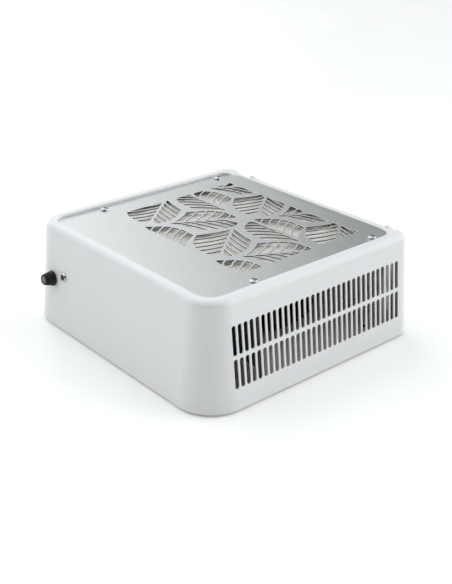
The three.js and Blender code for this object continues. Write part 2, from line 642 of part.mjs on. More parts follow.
const makeMotorBase = () => {
  const tube = toSolid(closedRing([
    [3.4, BASE_TOP + 0.1], [34, BASE_TOP + 0.1], [34, 7.6], [10.6, 7.6], [10.6, 33], [8.15, 33], [8.15, 10],
    [3.4, 10],
  ], 20));
  const tabs = motorScrewPlaces.map(([x, y]) => toSolid(disc(x, y - CHAMBER_Y, 6, BASE_TOP + 0.1, 7.6, 10)));
  const arms = motorScrewPlaces.map(([x, y]) => {
    const angle = Math.atan2(y - CHAMBER_Y, x);
    return toSolid(block(30, MOTOR_SCREW_RADIUS, -6, 6, BASE_TOP + 0.1, 7.6).rotateZ(angle));
  });
  const holes = motorScrewPlaces.map(([x, y]) => toSolid(disc(x, y - CHAMBER_Y, 1.9, 0, 10, 8)));
  return cut(joined([tube, ...tabs, ...arms]), holes);
};
add('motor_base', makeMotorBase(), GREY_ABS, atFan);
add('driver_board', ring(11, 32, 8.2, 9.8, 20), PCB_GREEN, atFan);
motorScrewPlaces.forEach(([x, y], i) => {
  add(`motor_screw_${i + 1}`, hiddenScrew(1.5, 4.8, 3, 1.8), STEEL, (m) => m.position.set(x, y, 7.7));
});

// ---------- electronics behind the partition ----------
add('control_board', block(BOARD.x0, BOARD.x1, BOARD.y0, BOARD.y1, BOARD.z, BOARD.z + 1.6), PCB_GREEN);
add('capacitor', turned([
  [0, 0], [7.5, 0], [8, 0.8], [8, 24], [7.2, 25], [0, 25],
], 18), BLACK_ABS, (m) => m.position.set(30, 90, BOARD.z + 1.7));

const makeHeatSink = () => {
  const foot = toSolid(block(46, 74, 80, 100, BOARD.z + 1.7, BOARD.z + 4.5));
  const fins = [0, 1, 2, 3, 4].map((i) =>
    toSolid(block(46.5 + i * 6.3, 48.3 + i * 6.3, 80, 100, BOARD.z + 3, BOARD.z + 20)));
  return joined([foot, ...fins]);
};
add('heat_sink', makeHeatSink(), STEEL);

// ---------- speed control ----------
const onKnobAxis = onRearWall(KNOB.x, KNOB.z);
const wallBack = -WALL;             // inner face of the rear wall, along the knob's axis
add('speed_pot_body', closedRing([
  [3.3, wallBack - 10], [8.2, wallBack - 10], [8.2, wallBack - 0.8], [3.5, wallBack - 0.8], [3.5, 2.2],
  [3.3, 2.2],
], 14), SILVER_GREY, onKnobAxis);
add('speed_pot_nut', ring(4.25, 6, 0.2, 1.9, 6), CHROME, onKnobAxis);
add('speed_pot_shaft', turned([
  [0, wallBack - 11.5], [3, wallBack - 11.5], [3, 8.4], [0, 8.4],
], 14), STEEL, onKnobAxis);

const knobBottom = 0.5;
add('speed_knob', turned([
  [0, 8.8], [3.2, 8.8], [3.2, 2.6], [6.3, 2.6], [6.3, knobBottom], [KNOB.skirt, knobBottom],
  [KNOB.skirt, 1.6], [KNOB.grip, 4.2], [KNOB.front + 0.3, KNOB.height - 0.8], [KNOB.front, KNOB.height],
  [3.9, KNOB.height], [3.9, KNOB.height - 0.9], [0, KNOB.height - 0.9],
], 18), BLACK_ABS, onKnobAxis);
add('knob_cap', turned([
  [0, KNOB.height - 0.8], [3.7, KNOB.height - 0.8], [3.7, KNOB.height - 0.3], [3.4, KNOB.height - 0.15],
  [0, KNOB.height - 0.1],
], 20), SILVER_GREY, onKnobAxis);

// ---------- power socket ----------
const onSocketAxis = onRearWall(SOCKET.x, SOCKET.z);
add('power_socket', turned([
  [0, -14], [7, -14], [7, wallBack - 0.5], [SOCKET.barrel, wallBack - 0.5], [SOCKET.barrel, 0.9],
  [2.9, 0.9], [2.9, -9], [1.1, -9], [1.1, -0.6], [0.7, 0], [0, 0],
], 14), STEEL, onSocketAxis);
add('socket_ring', closedRing([
  [SOCKET.barrel + 0.15, 0.2], [SOCKET.ring, 0.2], [SOCKET.ring, 0.6], [SOCKET.barrel - 0.2, 1.8],
  [3, 1.8], [3, 1.1], [SOCKET.barrel + 0.15, 1.1],
], 20), CHROME, onSocketAxis);

// ---------- wiring, held inside ----------
add('motor_lead', cable([
  [40, 66.5, 11], [40, 58, 8.4], [36, 40, 7.6], [32, 22, 7.6], [29, 10, 8.4], [26.5, 3.5, 9.3],
], 1.4, 14), BLACK_ABS);
add('socket_lead', cable([
  [SOCKET.x, 105, 53.6], [78, 98, 52], [70, 90, 46], [80, 84, 34], [84, 86, 22], [84, 86, 15.2],
], 1.3, 14), BLACK_ABS);
add('pot_lead', cable([
  [KNOB.x, 108, 40.5], [100, 102, 34], [95, 96, 26], [88, 93, 20], [80, 93, 16.5],
], 1.3, 12), RUBBER);

// ---------- hand rest ----------
const halfEllipse = (reach, height, steps) => Array.from({ length: steps + 1 }, (_, i) => {
  const a = Math.PI / 2 - (i / steps) * Math.PI;
  return new THREE.Vector2(-REST.back - reach * Math.cos(a), REST.z + height * Math.sin(a));
});
const restBarBack = REST.back + 0.2 - REST.bar;
add('hand_rest_bar', block(-REST.halfLength, REST.halfLength, 0.2 - REST.back, -restBarBack,
  REST.z - REST.halfHeight + 0.4, REST.z + REST.halfHeight + 0.3), WHITE_ABS);
add('hand_rest_pad', alongX(halfEllipse(REST.reach, REST.halfHeight, 8),
  -REST.halfLength, REST.halfLength), LEATHER);

// End cap with a small round knob on top, seen over the rim.
const capHeight = REST.halfHeight + REST_CAP.lip;
const capOutline = [
  new THREE.Vector2(-restBarBack, REST.z + capHeight),
  ...arc(-REST_CAP.knobBack, REST.z + REST_CAP.knobTop - REST_CAP.knobRadius, REST_CAP.knobRadius, 0, 180, 6),
  ...halfEllipse(REST.reach + REST_CAP.margin, capHeight, 8).slice(1),
  new THREE.Vector2(-restBarBack, REST.z - capHeight),
];
const capStart = REST.halfLength + GAP;
const capEnd = capStart + REST_CAP.width;
add('hand_rest_cap_right', alongX(capOutline, capStart, capEnd), WHITE_ABS);
add('hand_rest_cap_left', alongX(capOutline, -capEnd, -capStart), WHITE_ABS);

const restScrewY = frontWallY(REST_SCREW_Z) + WALL + 0.15;
restScrewPlaces.forEach((x, i) => {
  add(`hand_rest_screw_${i + 1}`, hiddenScrew(1.5, 3, 3, 1.6), STEEL, (m) => {
    m.position.set(x, restScrewY, REST_SCREW_Z);
    m.rotation.x = -Math.PI / 2;
  });
});

export default product;
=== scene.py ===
"""Looks of the table-top nail dust collector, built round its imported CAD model.

Shapes are worked out in millimetres on the housing's own axes: +X to the right, -Y towards the user
and the hand rest, +Z up. `to_frame` turns them into the frame's metres.
"""
import json
import math
import random

import bmesh
import bpy
from mathutils import Matrix, Vector
from mathutils.bvhtree import BVHTree
from mathutils import noise as smooth_noise


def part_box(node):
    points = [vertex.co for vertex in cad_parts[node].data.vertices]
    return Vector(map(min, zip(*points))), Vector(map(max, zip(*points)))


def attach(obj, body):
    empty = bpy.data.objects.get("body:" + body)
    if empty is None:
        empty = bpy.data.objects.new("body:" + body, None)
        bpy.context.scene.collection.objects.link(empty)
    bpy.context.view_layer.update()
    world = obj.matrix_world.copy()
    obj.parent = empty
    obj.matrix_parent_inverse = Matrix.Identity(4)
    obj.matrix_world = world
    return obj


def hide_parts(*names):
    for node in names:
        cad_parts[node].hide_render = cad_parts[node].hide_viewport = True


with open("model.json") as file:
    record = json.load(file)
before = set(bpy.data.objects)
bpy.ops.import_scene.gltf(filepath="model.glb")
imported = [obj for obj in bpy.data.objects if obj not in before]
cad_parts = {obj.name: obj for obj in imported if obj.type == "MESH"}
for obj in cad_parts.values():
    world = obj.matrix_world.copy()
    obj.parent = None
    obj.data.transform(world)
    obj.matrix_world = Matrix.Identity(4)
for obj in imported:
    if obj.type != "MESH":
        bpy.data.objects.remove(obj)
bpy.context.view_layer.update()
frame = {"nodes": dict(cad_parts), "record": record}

# ---------- driving dimensions, in millimetres ----------
MM = 0.001
CENTRE_Y = 4.77                # housing centre in the frame

FOOT_HEIGHT = 2
HALF_WIDTH = 139               # housing at its lower edge
HALF_DEPTH = 128
RIM_TOP = 100.4
WALL = 3
SIDE_DRAFT = 0.1               # lean of the side and rear walls
FRONT_DRAFT = 0.02
REAR_CORNER = 36
REAR_CORNER_TAPER = 0.1        # the corner radii get smaller towards the rim
FRONT_CORNER = 17
FRONT_CORNER_TAPER = 0.05
RIM_FILLET = 6
EDGE_ROUND = 0.8               # lower edge
WELL_ROUND = 1.0               # inner edge of the rim
CORNER_STEPS = 24
BOSS = {"radius": 5, "bottom": 5.6}           # inside the housing, for the base screws
BOSSES = [(112, 97), (-112, 97), (120.5, -107), (-120.5, -107)]

PLATE_TOP = 97.4
PLATE_THICKNESS = 1.2
PLATE_HALF_WIDTH = 117.6
PLATE_REAR = 107
PLATE_FRONT = 118.6
PLATE_REAR_CORNER = 14
PLATE_FRONT_CORNER = 20
PLATE_EDGE = 0.15              # broken edge of the cut sheet
PLATE_GAP = 0.3                # between the plate and the rim
TOP_DECK = PLATE_TOP - PLATE_THICKNESS - 0.2
RIM_GAP = {"half": 105, "ramp": 15, "round": 1.3}   # opening of the rim at the front

PATTERN = {"x": 91.5, "rear": 50, "front": 95.5}
SCREWS = [(110.3, 52.3), (-110.3, 52.3), (110.3, -93.9), (-110.3, -93.9)]
SCREW_HEAD = {"radius": 3.9, "height": 2.4, "hole": 2.2}
INSERT_HOLE = {"radius": 3.3, "bottom": 86.5}

SLOT_COUNT = 32
SLOT_PITCH = 6.4
SLOT_WIDTH = 4
SLOT_FIRST_Y = 92.4
SLOT_ROWS = [(21.5, 47.8), (51.1, 77.6)]
SLOT_ROUND = 0.3
SLOT_FLARE = 0.3
SLOT_WALL = 1.4                # wall thickness round the slots
SLOT_FIELD = {"front": 110, "rear": 95.5, "low": 18.5, "high": 80.5}

CHAMBER_Y = -21.5
FILTER_HALF_X = 96.5
FILTER_HALF_Y = 79.5
FILTER_BOTTOM = 84.2
FILTER_TOP = 94
FRAME_WALL = 4
FILTER_OPENING = {"margin": 1.3, "bottom": 90}
PLEATS = 30
PAPER_THICKNESS = 0.9
CREST_WIDTH = 0.45             # below 1 the crests are wider than the valleys

KNOB = {"x": 97, "z": 49.2, "skirt": 7.4, "grip": 6.6, "front": 5.1, "height": 10.6, "hole": 3.8}
KNOB_RIBS = {"count": 24, "depth": 0.34, "start": 3.5}
SOCKET = {"x": 77.6, "z": 56.3, "barrel": 3.7, "ring": 4.3, "hole": 3.9}
PARTITION_Y = 62               # wall between the fan chamber and the electronics bay
# Black sheet in the electronics bay: painted shade that darkens the view through the slots.
BAY_SHADE = {"low": 30, "high": 78, "off_partition": 2.7, "thickness": 2, "wrap": 0.6}
REST = {"half_length": 95, "back": 130.6, "reach": 12.9, "half_height": 13, "z": 80.8, "bar_back": 127.6}
REST_CAP = {"margin": 0.6, "lip": 0.3, "knob_back": 131.3, "knob_top": 15.6, "knob_radius": 2.4}
SEAMS = (-6.2, 6.2)            # sewn lines along the pad, above and below its middle
STITCH = {"length": 2.7, "pitch": 3.4, "radius": 0.3, "beside_seam": 1.5, "sink": 0.12}

# Each leaf keeps an uncut mid-rib from base to tip, and thin curved ribs on both sides of it. The
# gaps between those ribs are cut through. side is +1 for the half left of the mid-rib seen from
# base to tip, -1 for the right half. start and end are the places along the mid-rib of the first and
# the last rib, gaps the cut-outs between them, reach the widest half-leaf, and lean how far a rib
# runs towards the tip for each mm sideways.
LEAF_CELL = ((104, 0), (52, -92))
LEAVES = [
    {"base": (3, -27), "tip": (-57, 46), "halves": [
        {"side": -1, "gaps": 6, "start": 0.216, "end": 0.864, "reach": 30.5, "lean": 0.66},
        {"side": 1, "gaps": 6, "start": 0.199, "end": 0.835, "reach": 21.5, "lean": 1.15},
    ]},
    {"base": (43, 27), "tip": (5, -38), "halves": [
        {"side": 1, "gaps": 6, "start": 0.09, "end": 0.906, "reach": 25, "lean": 0.62},
        {"side": -1, "gaps": 5, "start": 0.031, "end": 0.756, "reach": 24, "lean": 1},
    ]},
    {"base": (-78, -40), "tip": (0, -41), "halves": [
        {"side": 1, "gaps": 6, "start": 0.057, "end": 0.873, "reach": 24, "lean": 0.9},
        {"side": -1, "gaps": 6, "start": 0.124, "end": 0.934, "reach": 25.5, "lean": 0.68},
    ]},
]
RIB_WIDTH = 1.5
RIB_STEPS = 14
RIB_CURL = 0.3                 # how much a rib bends towards the tip on its way out
MID_RIB_HALF = 1.6
WIDEST = 0.33                  # place along the mid-rib from which the leaf gets narrower
NARROWING = 0.62               # part of the mid-rib's length over which it would end
SMALLEST_GAP = 14              # square millimetres; anything smaller stays uncut
CORNER_CUTS = 2                # times that a gap's corners are cut off to round them

# ---------- camera and studio ----------
CAMERA_PLACE = (-0.6426, 0.5407, 0.4320)
CAMERA_AZIMUTH = 229.567
CAMERA_ELEVATION = 25.587
CAMERA_LENS = 76.05
CAMERA_SENSOR = 36

# Soft lights of the sky: degrees from the camera's forward direction towards its right, elevation,
# degrees from the middle at which the light has faded out and at which it is full, strength.
SKY_LIGHTS = [
    (0, 90, 60, 15, 0.79),
    (-75, 25, 85, 15, 0.99),
    (-40, 30, 50, 10, 0.61),
    (-25, 25, 40, 8, 0.23),
    (85, 15, 50, 12, 2.23),
    (60, 20, 50, 12, 0.71),
]
SKY_TINT = (0.97, 0.99, 1.0, 1)
FLOOR_HALF = 12000
FLOOR_GLOW = 0.07              # the floor shines a little of its own, like a light table


# ---------- mesh helpers ----------
def to_frame(point):
    x, y, z = point
    return (x * MM, (y + CENTRE_Y) * MM, z * MM)


def make_object(name, shape):
    """A mesh object from (points, faces), with the faces pointing out."""
    points, faces = shape
    mesh = bpy.data.meshes.new(name)
    mesh.from_pydata([to_frame(p) for p in points], [], faces)
    work = bmesh.new()
    work.from_mesh(mesh)
    bmesh.ops.recalc_face_normals(work, faces=work.faces)
    work.to_mesh(mesh)
    work.free()
    obj = bpy.data.objects.new(name, mesh)
    bpy.context.scene.collection.objects.link(obj)
    return obj


def apply_modifiers(obj):
    graph = bpy.context.evaluated_depsgraph_get()
    finished = bpy.data.meshes.new_from_object(obj.evaluated_get(graph))
    old = obj.data
    obj.modifiers.clear()
    obj.data = finished
    bpy.data.meshes.remove(old)


def combine(obj, shape, operation="DIFFERENCE"):
    """Cuts a shape (points, faces) out of a mesh object, or adds it with "UNION"."""
    tool = make_object("tool", shape)
    modifier = obj.modifiers.new("combine", "BOOLEAN")
    modifier.operation = operation
    modifier.solver = "MANIFOLD"
    modifier.object = tool
    apply_modifiers(obj)
    bpy.data.objects.remove(tool)


def shade(obj, angle=32):
    """Smooth faces with crisp edges where the surface turns by more than the angle."""
    obj.data.shade_smooth()
    obj.data.set_sharp_from_angle(angle=math.radians(angle))
    modifier = obj.modifiers.new("weighted_normals", "WEIGHTED_NORMAL")
    modifier.keep_sharp = True
    apply_modifiers(obj)


def joined(shapes):
    """Several (points, faces) as one."""
    points = []
    faces = []
    for part_points, part_faces in shapes:
        start = len(points)
        points.extend(part_points)
        faces.extend(tuple(start + i for i in face) for face in part_faces)
    return points, faces


def moved(shape, matrix):
    points, faces = shape
    return [tuple(matrix @ Vector(p)) for p in points], faces


def arc(cx, cy, radius, start, end, steps):
    angles = [math.radians(start + (end - start) * i / steps) for i in range(steps + 1)]
    return [(cx + radius * math.cos(a), cy + radius * math.sin(a)) for a in angles]


def rounded_outline(x, rear, front, rear_radius, front_radius):
    """Rounded rectangle, counter-clockwise from the front right corner."""
    return (
        arc(x - front_radius, -front + front_radius, front_radius, -90, 0, CORNER_STEPS)
        + arc(x - rear_radius, rear - rear_radius, rear_radius, 0, 90, CORNER_STEPS)
        + arc(-x + rear_radius, rear - rear_radius, rear_radius, 90, 180, CORNER_STEPS)
        + arc(-x + front_radius, -front + front_radius, front_radius, 180, 270, CORNER_STEPS)
    )


def loft(rings):
    """Closed surface through rings of equal length, with a cap at both ends."""
    count = len(rings[0])
    last = (len(rings) - 1) * count
    points = [p for ring in rings for p in ring]
    faces = []
    for level in range(len(rings) - 1):
        low = level * count
        for i in range(count):
            j = (i + 1) % count
            faces.append((low + i, low + j, low + count + j, low + count + i))
    faces.append(tuple(reversed(range(count))))
    faces.append(tuple(range(last, last + count)))
    return points, faces


def turned(profile, steps, radius_at=None):
    """Piece turned about Z from a closed profile of (radius, z), counter-clockwise.

    A profile that starts and ends on the axis is closed there. radius_at(radius, z, angle) may
    change the radius with the angle, as ribs do.
    """
    on_axis = profile[0][0] == 0 and profile[-1][0] == 0
    body = profile[1:-1] if on_axis else profile
    points = []
    for i in range(steps):
        angle = 2 * math.pi * i / steps
        for radius, z in body:
            r = radius_at(radius, z, angle) if radius_at else radius
            points.append((r * math.cos(angle), r * math.sin(angle), z))
    count = len(body)
    faces = []
    spans = count - 1 if on_axis else count
    for i in range(steps):
        a = i * count
        b = ((i + 1) % steps) * count
        for k in range(spans):
            n = (k + 1) % count
            faces.append((a + k, b + k, b + n, a + n))
    if on_axis:
        low = len(points)
        points.append((0, 0, profile[0][1]))
        points.append((0, 0, profile[-1][1]))
        for i in range(steps):
            a = i * count
            b = ((i + 1) % steps) * count
            faces.append((low, b, a))
            faces.append((low + 1, a + count - 1, b + count - 1))
    return points, faces


def block(x0, x1, y0, y1, z0, z1):
    outline = [(x0, y0), (x1, y0), (x1, y1), (x0, y1)]
    return loft([[(x, y, z) for x, y in outline] for z in (z0, z1)])


def cylinder(x, y, radius, z0, z1):
    outline = arc(x, y, radius, 0, 360, 40)[:-1]
    return loft([[(px, py, z) for px, py in outline] for z in (z0, z1)])


# ---------- material helpers ----------
def add_node(tree, kind, inputs=None, **settings):
    """A new node; an input is linked when its value is a socket, and set when it isn't."""
    made = tree.nodes.new(kind)
    for key, value in settings.items():
        setattr(made, key, value)
    for key, value in (inputs or {}).items():
        if isinstance(value, bpy.types.NodeSocket):
            tree.links.new(value, made.inputs[key])
        else:
            made.inputs[key].default_value = value
    return made


class Surface:
    """A Principled material whose colour, gloss and relief come from procedural nodes."""

    def __init__(self, name, roughness, metallic=0.0, **sockets):
        self.material = bpy.data.materials.new(name)
        self.material.use_nodes = True
        self.tree = self.material.node_tree
        self.shader = self.tree.nodes["Principled BSDF"]
        self.shader.inputs["Metallic"].default_value = metallic
        self.shader.inputs["Roughness"].default_value = roughness
        for socket, value in sockets.items():
            self.shader.inputs[socket.replace("_", " ")].default_value = value
        self.place = self.node("ShaderNodeTexCoord").outputs["Object"]

    def node(self, kind, inputs=None, **settings):
        return add_node(self.tree, kind, inputs, **settings)

    def stretched(self, scale):
        return self.node("ShaderNodeMapping", {"Vector": self.place, "Scale": scale}).outputs["Vector"]

    def noise(self, scale, detail, vector=None):
        inputs = {"Vector": vector or self.place, "Scale": scale, "Detail": detail}
        return self.node("ShaderNodeTexNoise", inputs).outputs["Fac"]

    def cells(self, scale, feature="F1"):
        inputs = {"Vector": self.place, "Scale": scale}
        return self.node("ShaderNodeTexVoronoi", inputs, feature=feature).outputs["Distance"]

    def ranged(self, value, low, high, source=(0.3, 0.7)):
        inputs = {"Value": value, "From Min": source[0], "From Max": source[1],
                  "To Min": low, "To Max": high}
        return self.node("ShaderNodeMapRange", inputs).outputs["Result"]

    def mixed(self, factor, first, second):
        mix = self.node("ShaderNodeMix", data_type="RGBA")
        self.tree.links.new(factor, mix.inputs["Factor"])
        for name, value in (("A", first), ("B", second)):
            socket = [s for s in mix.inputs if s.name == name and s.type == "RGBA"][0]
            if isinstance(value, bpy.types.NodeSocket):
                self.tree.links.new(value, socket)
            else:
                socket.default_value = value
        return [s for s in mix.outputs if s.type == "RGBA"][0]

    def colour(self, value):
        self.tree.links.new(value, self.shader.inputs["Base Color"])

    def shaded(self, value, first, second, source=(0.3, 0.7)):
        """Colour that goes from the first to the second while the value crosses its source range."""
        self.colour(self.mixed(self.ranged(value, 0, 1, source), first, second))

    def gloss(self, value, low, high, source=(0.3, 0.7)):
        self.tree.links.new(self.ranged(value, low, high, source), self.shader.inputs["Roughness"])

    def relief(self, height, depth_mm, strength):
        """Adds to the relief that the surface already has."""
        inputs = {"Height": height, "Distance": depth_mm * MM, "Strength": strength}
        before = self.shader.inputs["Normal"].links
        if before:
            inputs["Normal"] = before[0].from_socket
        bump = self.node("ShaderNodeBump", inputs)
        self.tree.links.new(bump.outputs["Normal"], self.shader.inputs["Normal"])


def tone(colour, factor):
    """The colour made darker or lighter, with alpha 1."""
    return tuple(min(1, c * factor) for c in colour) + (1,)


def plastic(name, colour, roughness, spread, grain, depth, **sockets):
    """Moulded plastic: fine tool texture, with broad faint flow marks in its gloss and tone."""
    s = Surface(name, roughness, **sockets)
    s.shaded(s.noise(14, 3), tone(colour, 1 - spread), tone(colour, 1 + spread))
    s.gloss(s.noise(60, 4), roughness - 0.04, roughness + 0.05)
    s.relief(s.noise(grain, 3), depth, 0.35)
    return s.material


def metal(name, colour, roughness, streak=(1, 1, 1), grain=700, spread=0.06):
    """Metal with fine scratches drawn out along one direction, and a cloudy tone."""
    s = Surface(name, roughness, metallic=1.0)
    lines = s.noise(grain, 4, s.stretched(streak))
    s.shaded(s.noise(30, 4), tone(colour, 1 - spread), tone(colour, 1 + spread))
    s.gloss(lines, roughness - 0.07, roughness + 0.07)
    s.relief(lines, 0.006, 0.4)
    return s.material


def brushed_sheet(name, colour):
    """Brushed stainless sheet: hair lines along X in tone, gloss and relief, with faint smudges."""
    s = Surface(name, 0.34, metallic=1.0)
    hair = s.noise(2600, 3, s.stretched((0.035, 1, 1)))
    long_hair = s.noise(900, 2, s.stretched((0.012, 1, 1)))
    cloud = s.noise(18, 3)
    lined = s.mixed(s.ranged(hair, 0, 1), tone(colour, 0.93), tone(colour, 1.05))
    s.colour(s.mixed(s.ranged(cloud, 0, 0.5), lined, tone(colour, 0.96)))
    s.gloss(long_hair, 0.29, 0.4)
    s.relief(hair, 0.005, 0.35)
    s.relief(long_hair, 0.006, 0.25)
    return s.material


def painted_reflection_edge(name, colour):
    """Laser-cut edge of the sheet: fine upright striations on a dark brown-grey tone, a painted reflection of
    the dark surroundings that the cut walls face.
    """
    s = Surface(name, 0.5, metallic=1.0)
    striations = s.noise(2200, 3, s.stretched((1, 1, 0.08)))
    s.shaded(striations, tone(colour, 0.75), tone(colour, 1.35))
    s.gloss(striations, 0.42, 0.6)
    s.relief(striations, 0.02, 0.5)
    return s.material


def synthetic_leather(name, colour):
    """Coated fabric: pebbled grain with creases between the pebbles, softer in them and darkened there as
    painted shade.
    """
    s = Surface(name, 0.5, Coat_Weight=0.06, Coat_Roughness=0.35)
    wander = s.noise(500, 2)
    pebbles = s.cells(1150)
    creases = s.cells(1150, "DISTANCE_TO_EDGE")
    # The creases are painted darker, as shade in them.
    s.shaded(creases, tone(colour, 0.9), tone(colour, 1), (0, 0.16))
    s.gloss(wander, 0.42, 0.56)
    s.relief(s.ranged(creases, 0, 1, (0, 0.25)), 0.07, 0.55)
    s.relief(pebbles, 0.04, 0.3)
    s.relief(s.noise(160, 3), 0.12, 0.3)
    return s.material


def fibre_sheet(name, colour, spread=0.08, depth=0.08):
    """Non-woven fibre: matted strands in tone and relief."""
    s = Surface(name, 0.92, Specular_IOR_Level=0.2)
    strands = s.noise(1500, 5, s.stretched((1, 0.25, 1)))
    crossing = s.noise(1700, 5, s.stretched((0.3, 1, 1)))
    mat = s.noise(420, 4)
    first = s.mixed(s.ranged(strands, 0, 1), tone(colour, 1 - spread), tone(colour, 1 + spread))
    s.colour(s.mixed(s.ranged(mat, 0, 0.6), first, tone(colour, 1 - 1.5 * spread)))
    s.gloss(mat, 0.85, 0.98)
    s.relief(strands, depth, 0.5)
    s.relief(crossing, depth, 0.5)
    return s.material


def cellular(name, colour, scale=900, depth=0.15):
    """Foam, rubber or sintered magnet: small cells in tone and relief."""
    s = Surface(name, 0.85, Specular_IOR_Level=0.3)
    cells = s.cells(scale)
    s.shaded(cells, tone(colour, 1.35), tone(colour, 0.7), (0.1, 0.7))
    s.gloss(s.noise(300, 3), 0.75, 0.95)
    s.relief(cells, depth, 0.5)
    return s.material


def solder_mask(name, colour):
    """Circuit board: green mask over a net of tracks, with pads at the track ends."""
    s = Surface(name, 0.35)
    tracks = s.node("ShaderNodeTexBrick", {"Vector": s.place, "Scale": 160.0}, offset=0.35)
    pads = s.cells(260)
    lines = s.mixed(tracks.outputs["Fac"], tone(colour, 1), tone(colour, 1.9))
    s.colour(s.mixed(s.ranged(pads, 1, 0, (0.1, 0.16)), lines, (0.62, 0.62, 0.58, 1)))
    s.gloss(s.noise(200, 3), 0.28, 0.42)
    s.relief(tracks.outputs["Fac"], 0.05, 0.4)
    return s.material


def wound_wire(name, colour):
    """Enamelled copper wire, laid turn beside turn."""
    s = Surface(name, 0.3, metallic=1.0)
    turns = s.node("ShaderNodeTexWave", {"Vector": s.place, "Scale": 420.0, "Distortion": 1.5,
                                         "Detail": 2.0}, bands_direction="Z").outputs["Fac"]
    # Lighter crests and darker grooves between the turns are painted light and shade.
    s.colour(s.mixed(turns, tone(colour, 0.55), tone(colour, 1.1)))
    s.gloss(s.noise(400, 3), 0.25, 0.42)
    s.relief(turns, 0.3, 0.7)
    return s.material


# What each material slot of the record looks like.
FINISHES = {
    "white_abs": lambda n: plastic(n, (0.748, 0.752, 0.757), 0.34, 0.012, 1100, 0.012, Coat_Weight=0.15,
                                   Coat_Roughness=0.16),
    "stainless": lambda n: brushed_sheet(n, (0.70, 0.715, 0.715)),
    "filter_card": lambda n: fibre_sheet(n, (0.60, 0.57, 0.50), 0.06, 0.05),
    "filter_paper": lambda n: fibre_sheet(n, (0.92, 0.905, 0.865), 0.03),
    "foam": lambda n: cellular(n, (0.05, 0.05, 0.055)),
    "grey_abs": lambda n: plastic(n, (0.76, 0.73, 0.67), 0.5, 0.05, 700, 0.03),
    "black_abs": lambda n: plastic(n, (0.008, 0.008, 0.009), 0.6, 0.1, 700, 0.03, Specular_IOR_Level=0.15),
    "steel": lambda n: metal(n, (0.50, 0.51, 0.52), 0.38),
    "ferrite": lambda n: cellular(n, (0.05, 0.05, 0.05), 2500, 0.03),
    "bearing_steel": lambda n: metal(n, (0.72, 0.73, 0.74), 0.2, (1, 1, 0.2)),
    "copper": lambda n: wound_wire(n, (0.62, 0.27, 0.12)),
    "circuit_board": lambda n: solder_mask(n, (0.02, 0.16, 0.07)),
    "aluminium": lambda n: metal(n, (0.60, 0.61, 0.62), 0.36, (0.1, 1, 1)),
    "knob_black": lambda n: plastic(n, (0.008, 0.008, 0.010), 0.42, 0.1, 800, 0.02, Specular_IOR_Level=0.3),
    "knob_grey": lambda n: metal(n, (0.16, 0.165, 0.17), 0.38, (1, 1, 0.1), 1500),
    "chrome": lambda n: metal(n, (0.50, 0.51, 0.52), 0.18, (1, 1, 1), 1500, 0.03),
    "lead_black": lambda n: plastic(n, (0.02, 0.02, 0.02), 0.5, 0.1, 900, 0.02),
    "leather": lambda n: synthetic_leather(n, (0.80, 0.805, 0.80)),
    "rubber": lambda n: cellular(n, (0.03, 0.03, 0.03), 1600, 0.05),
    "brass": lambda n: metal(n, (0.60, 0.45, 0.20), 0.3, (1, 1, 0.1)),
}
MATERIALS = {slot: make(slot) for slot, make in FINISHES.items()}
NODE_BODY = {node: body for body, nodes in frame["record"]["behaviour"]["bodies"].items() for node in nodes}


def finish_piece(obj, slot, *nodes, body=None):
    """Gives a new piece its material and its body, and hides the CAD nodes that it stands for."""
    obj.data.materials.clear()
    obj.data.materials.append(MATERIALS[slot])
    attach(obj, body or NODE_BODY[nodes[0]])
    if nodes:
        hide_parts(*nodes)


# ---------- housing ----------
def housing_ring(z, inset):
    """Outline of the drafted housing at height z, moved in by the inset."""
    side = SIDE_DRAFT * (z - FOOT_HEIGHT) + inset
    outline = rounded_outline(
        HALF_WIDTH - side,
        HALF_DEPTH - side,
        HALF_DEPTH - FRONT_DRAFT * (z - FOOT_HEIGHT) - inset,
        max(REAR_CORNER - REAR_CORNER_TAPER * (z - FOOT_HEIGHT) - inset, 1),
        max(FRONT_CORNER - FRONT_CORNER_TAPER * (z - FOOT_HEIGHT) - inset, 0.8),
    )
    return [(x, y, z) for x, y in outline]


def side_wall_x(z):
    return HALF_WIDTH - SIDE_DRAFT * (z - FOOT_HEIGHT)


def rear_wall_y(z):
    return HALF_DEPTH - SIDE_DRAFT * (z - FOOT_HEIGHT)


def front_wall_y(z):
    return -HALF_DEPTH + FRONT_DRAFT * (z - FOOT_HEIGHT)


def on_rear_wall(x, z):
    """Places a piece turned about Z so that it stands square on the rear wall."""
    tilt = Matrix.Rotation(-math.pi / 2 + math.atan(SIDE_DRAFT), 4, "X")
    return Matrix.Translation((x, rear_wall_y(z), z)) @ tilt


def plate_ring(z, clearance):
    outline = rounded_outline(
        PLATE_HALF_WIDTH + clearance,
        PLATE_REAR + clearance,
        PLATE_FRONT + clearance,
        PLATE_REAR_CORNER + clearance,
        PLATE_FRONT_CORNER + clearance,
    )
    return [(x, y, z) for x, y in outline]


def quarter_round(steps):
    """(sine, 1 - cosine) pairs from 0 to 90 degrees."""
    angles = [math.pi / 2 * i / steps for i in range(steps + 1)]
    return [(math.sin(a), 1 - math.cos(a)) for a in angles]


def slot_cutter(y, z0, z1, side):
    """Round-ended cutter through one side wall, softened outside and flared towards the inside."""
    mouth = [(-2, SLOT_ROUND)]
    mouth += [(SLOT_ROUND * rise, SLOT_ROUND * (1 - rise)) for rise in (0, 0.3, 1)]
    mouth += [(SLOT_WALL + 0.1, SLOT_FLARE), (WALL + 3, SLOT_FLARE)]
    rings = []
    for depth, spread in mouth:
        radius = SLOT_WIDTH / 2 + spread
        low = arc(y, z0 + SLOT_WIDTH / 2, radius, 180, 360, 10)
        high = arc(y, z1 - SLOT_WIDTH / 2, radius, 0, 180, 10)
        rings.append([(side * (side_wall_x(z) - depth), v, z) for v, z in low + high])
    return loft(rings)


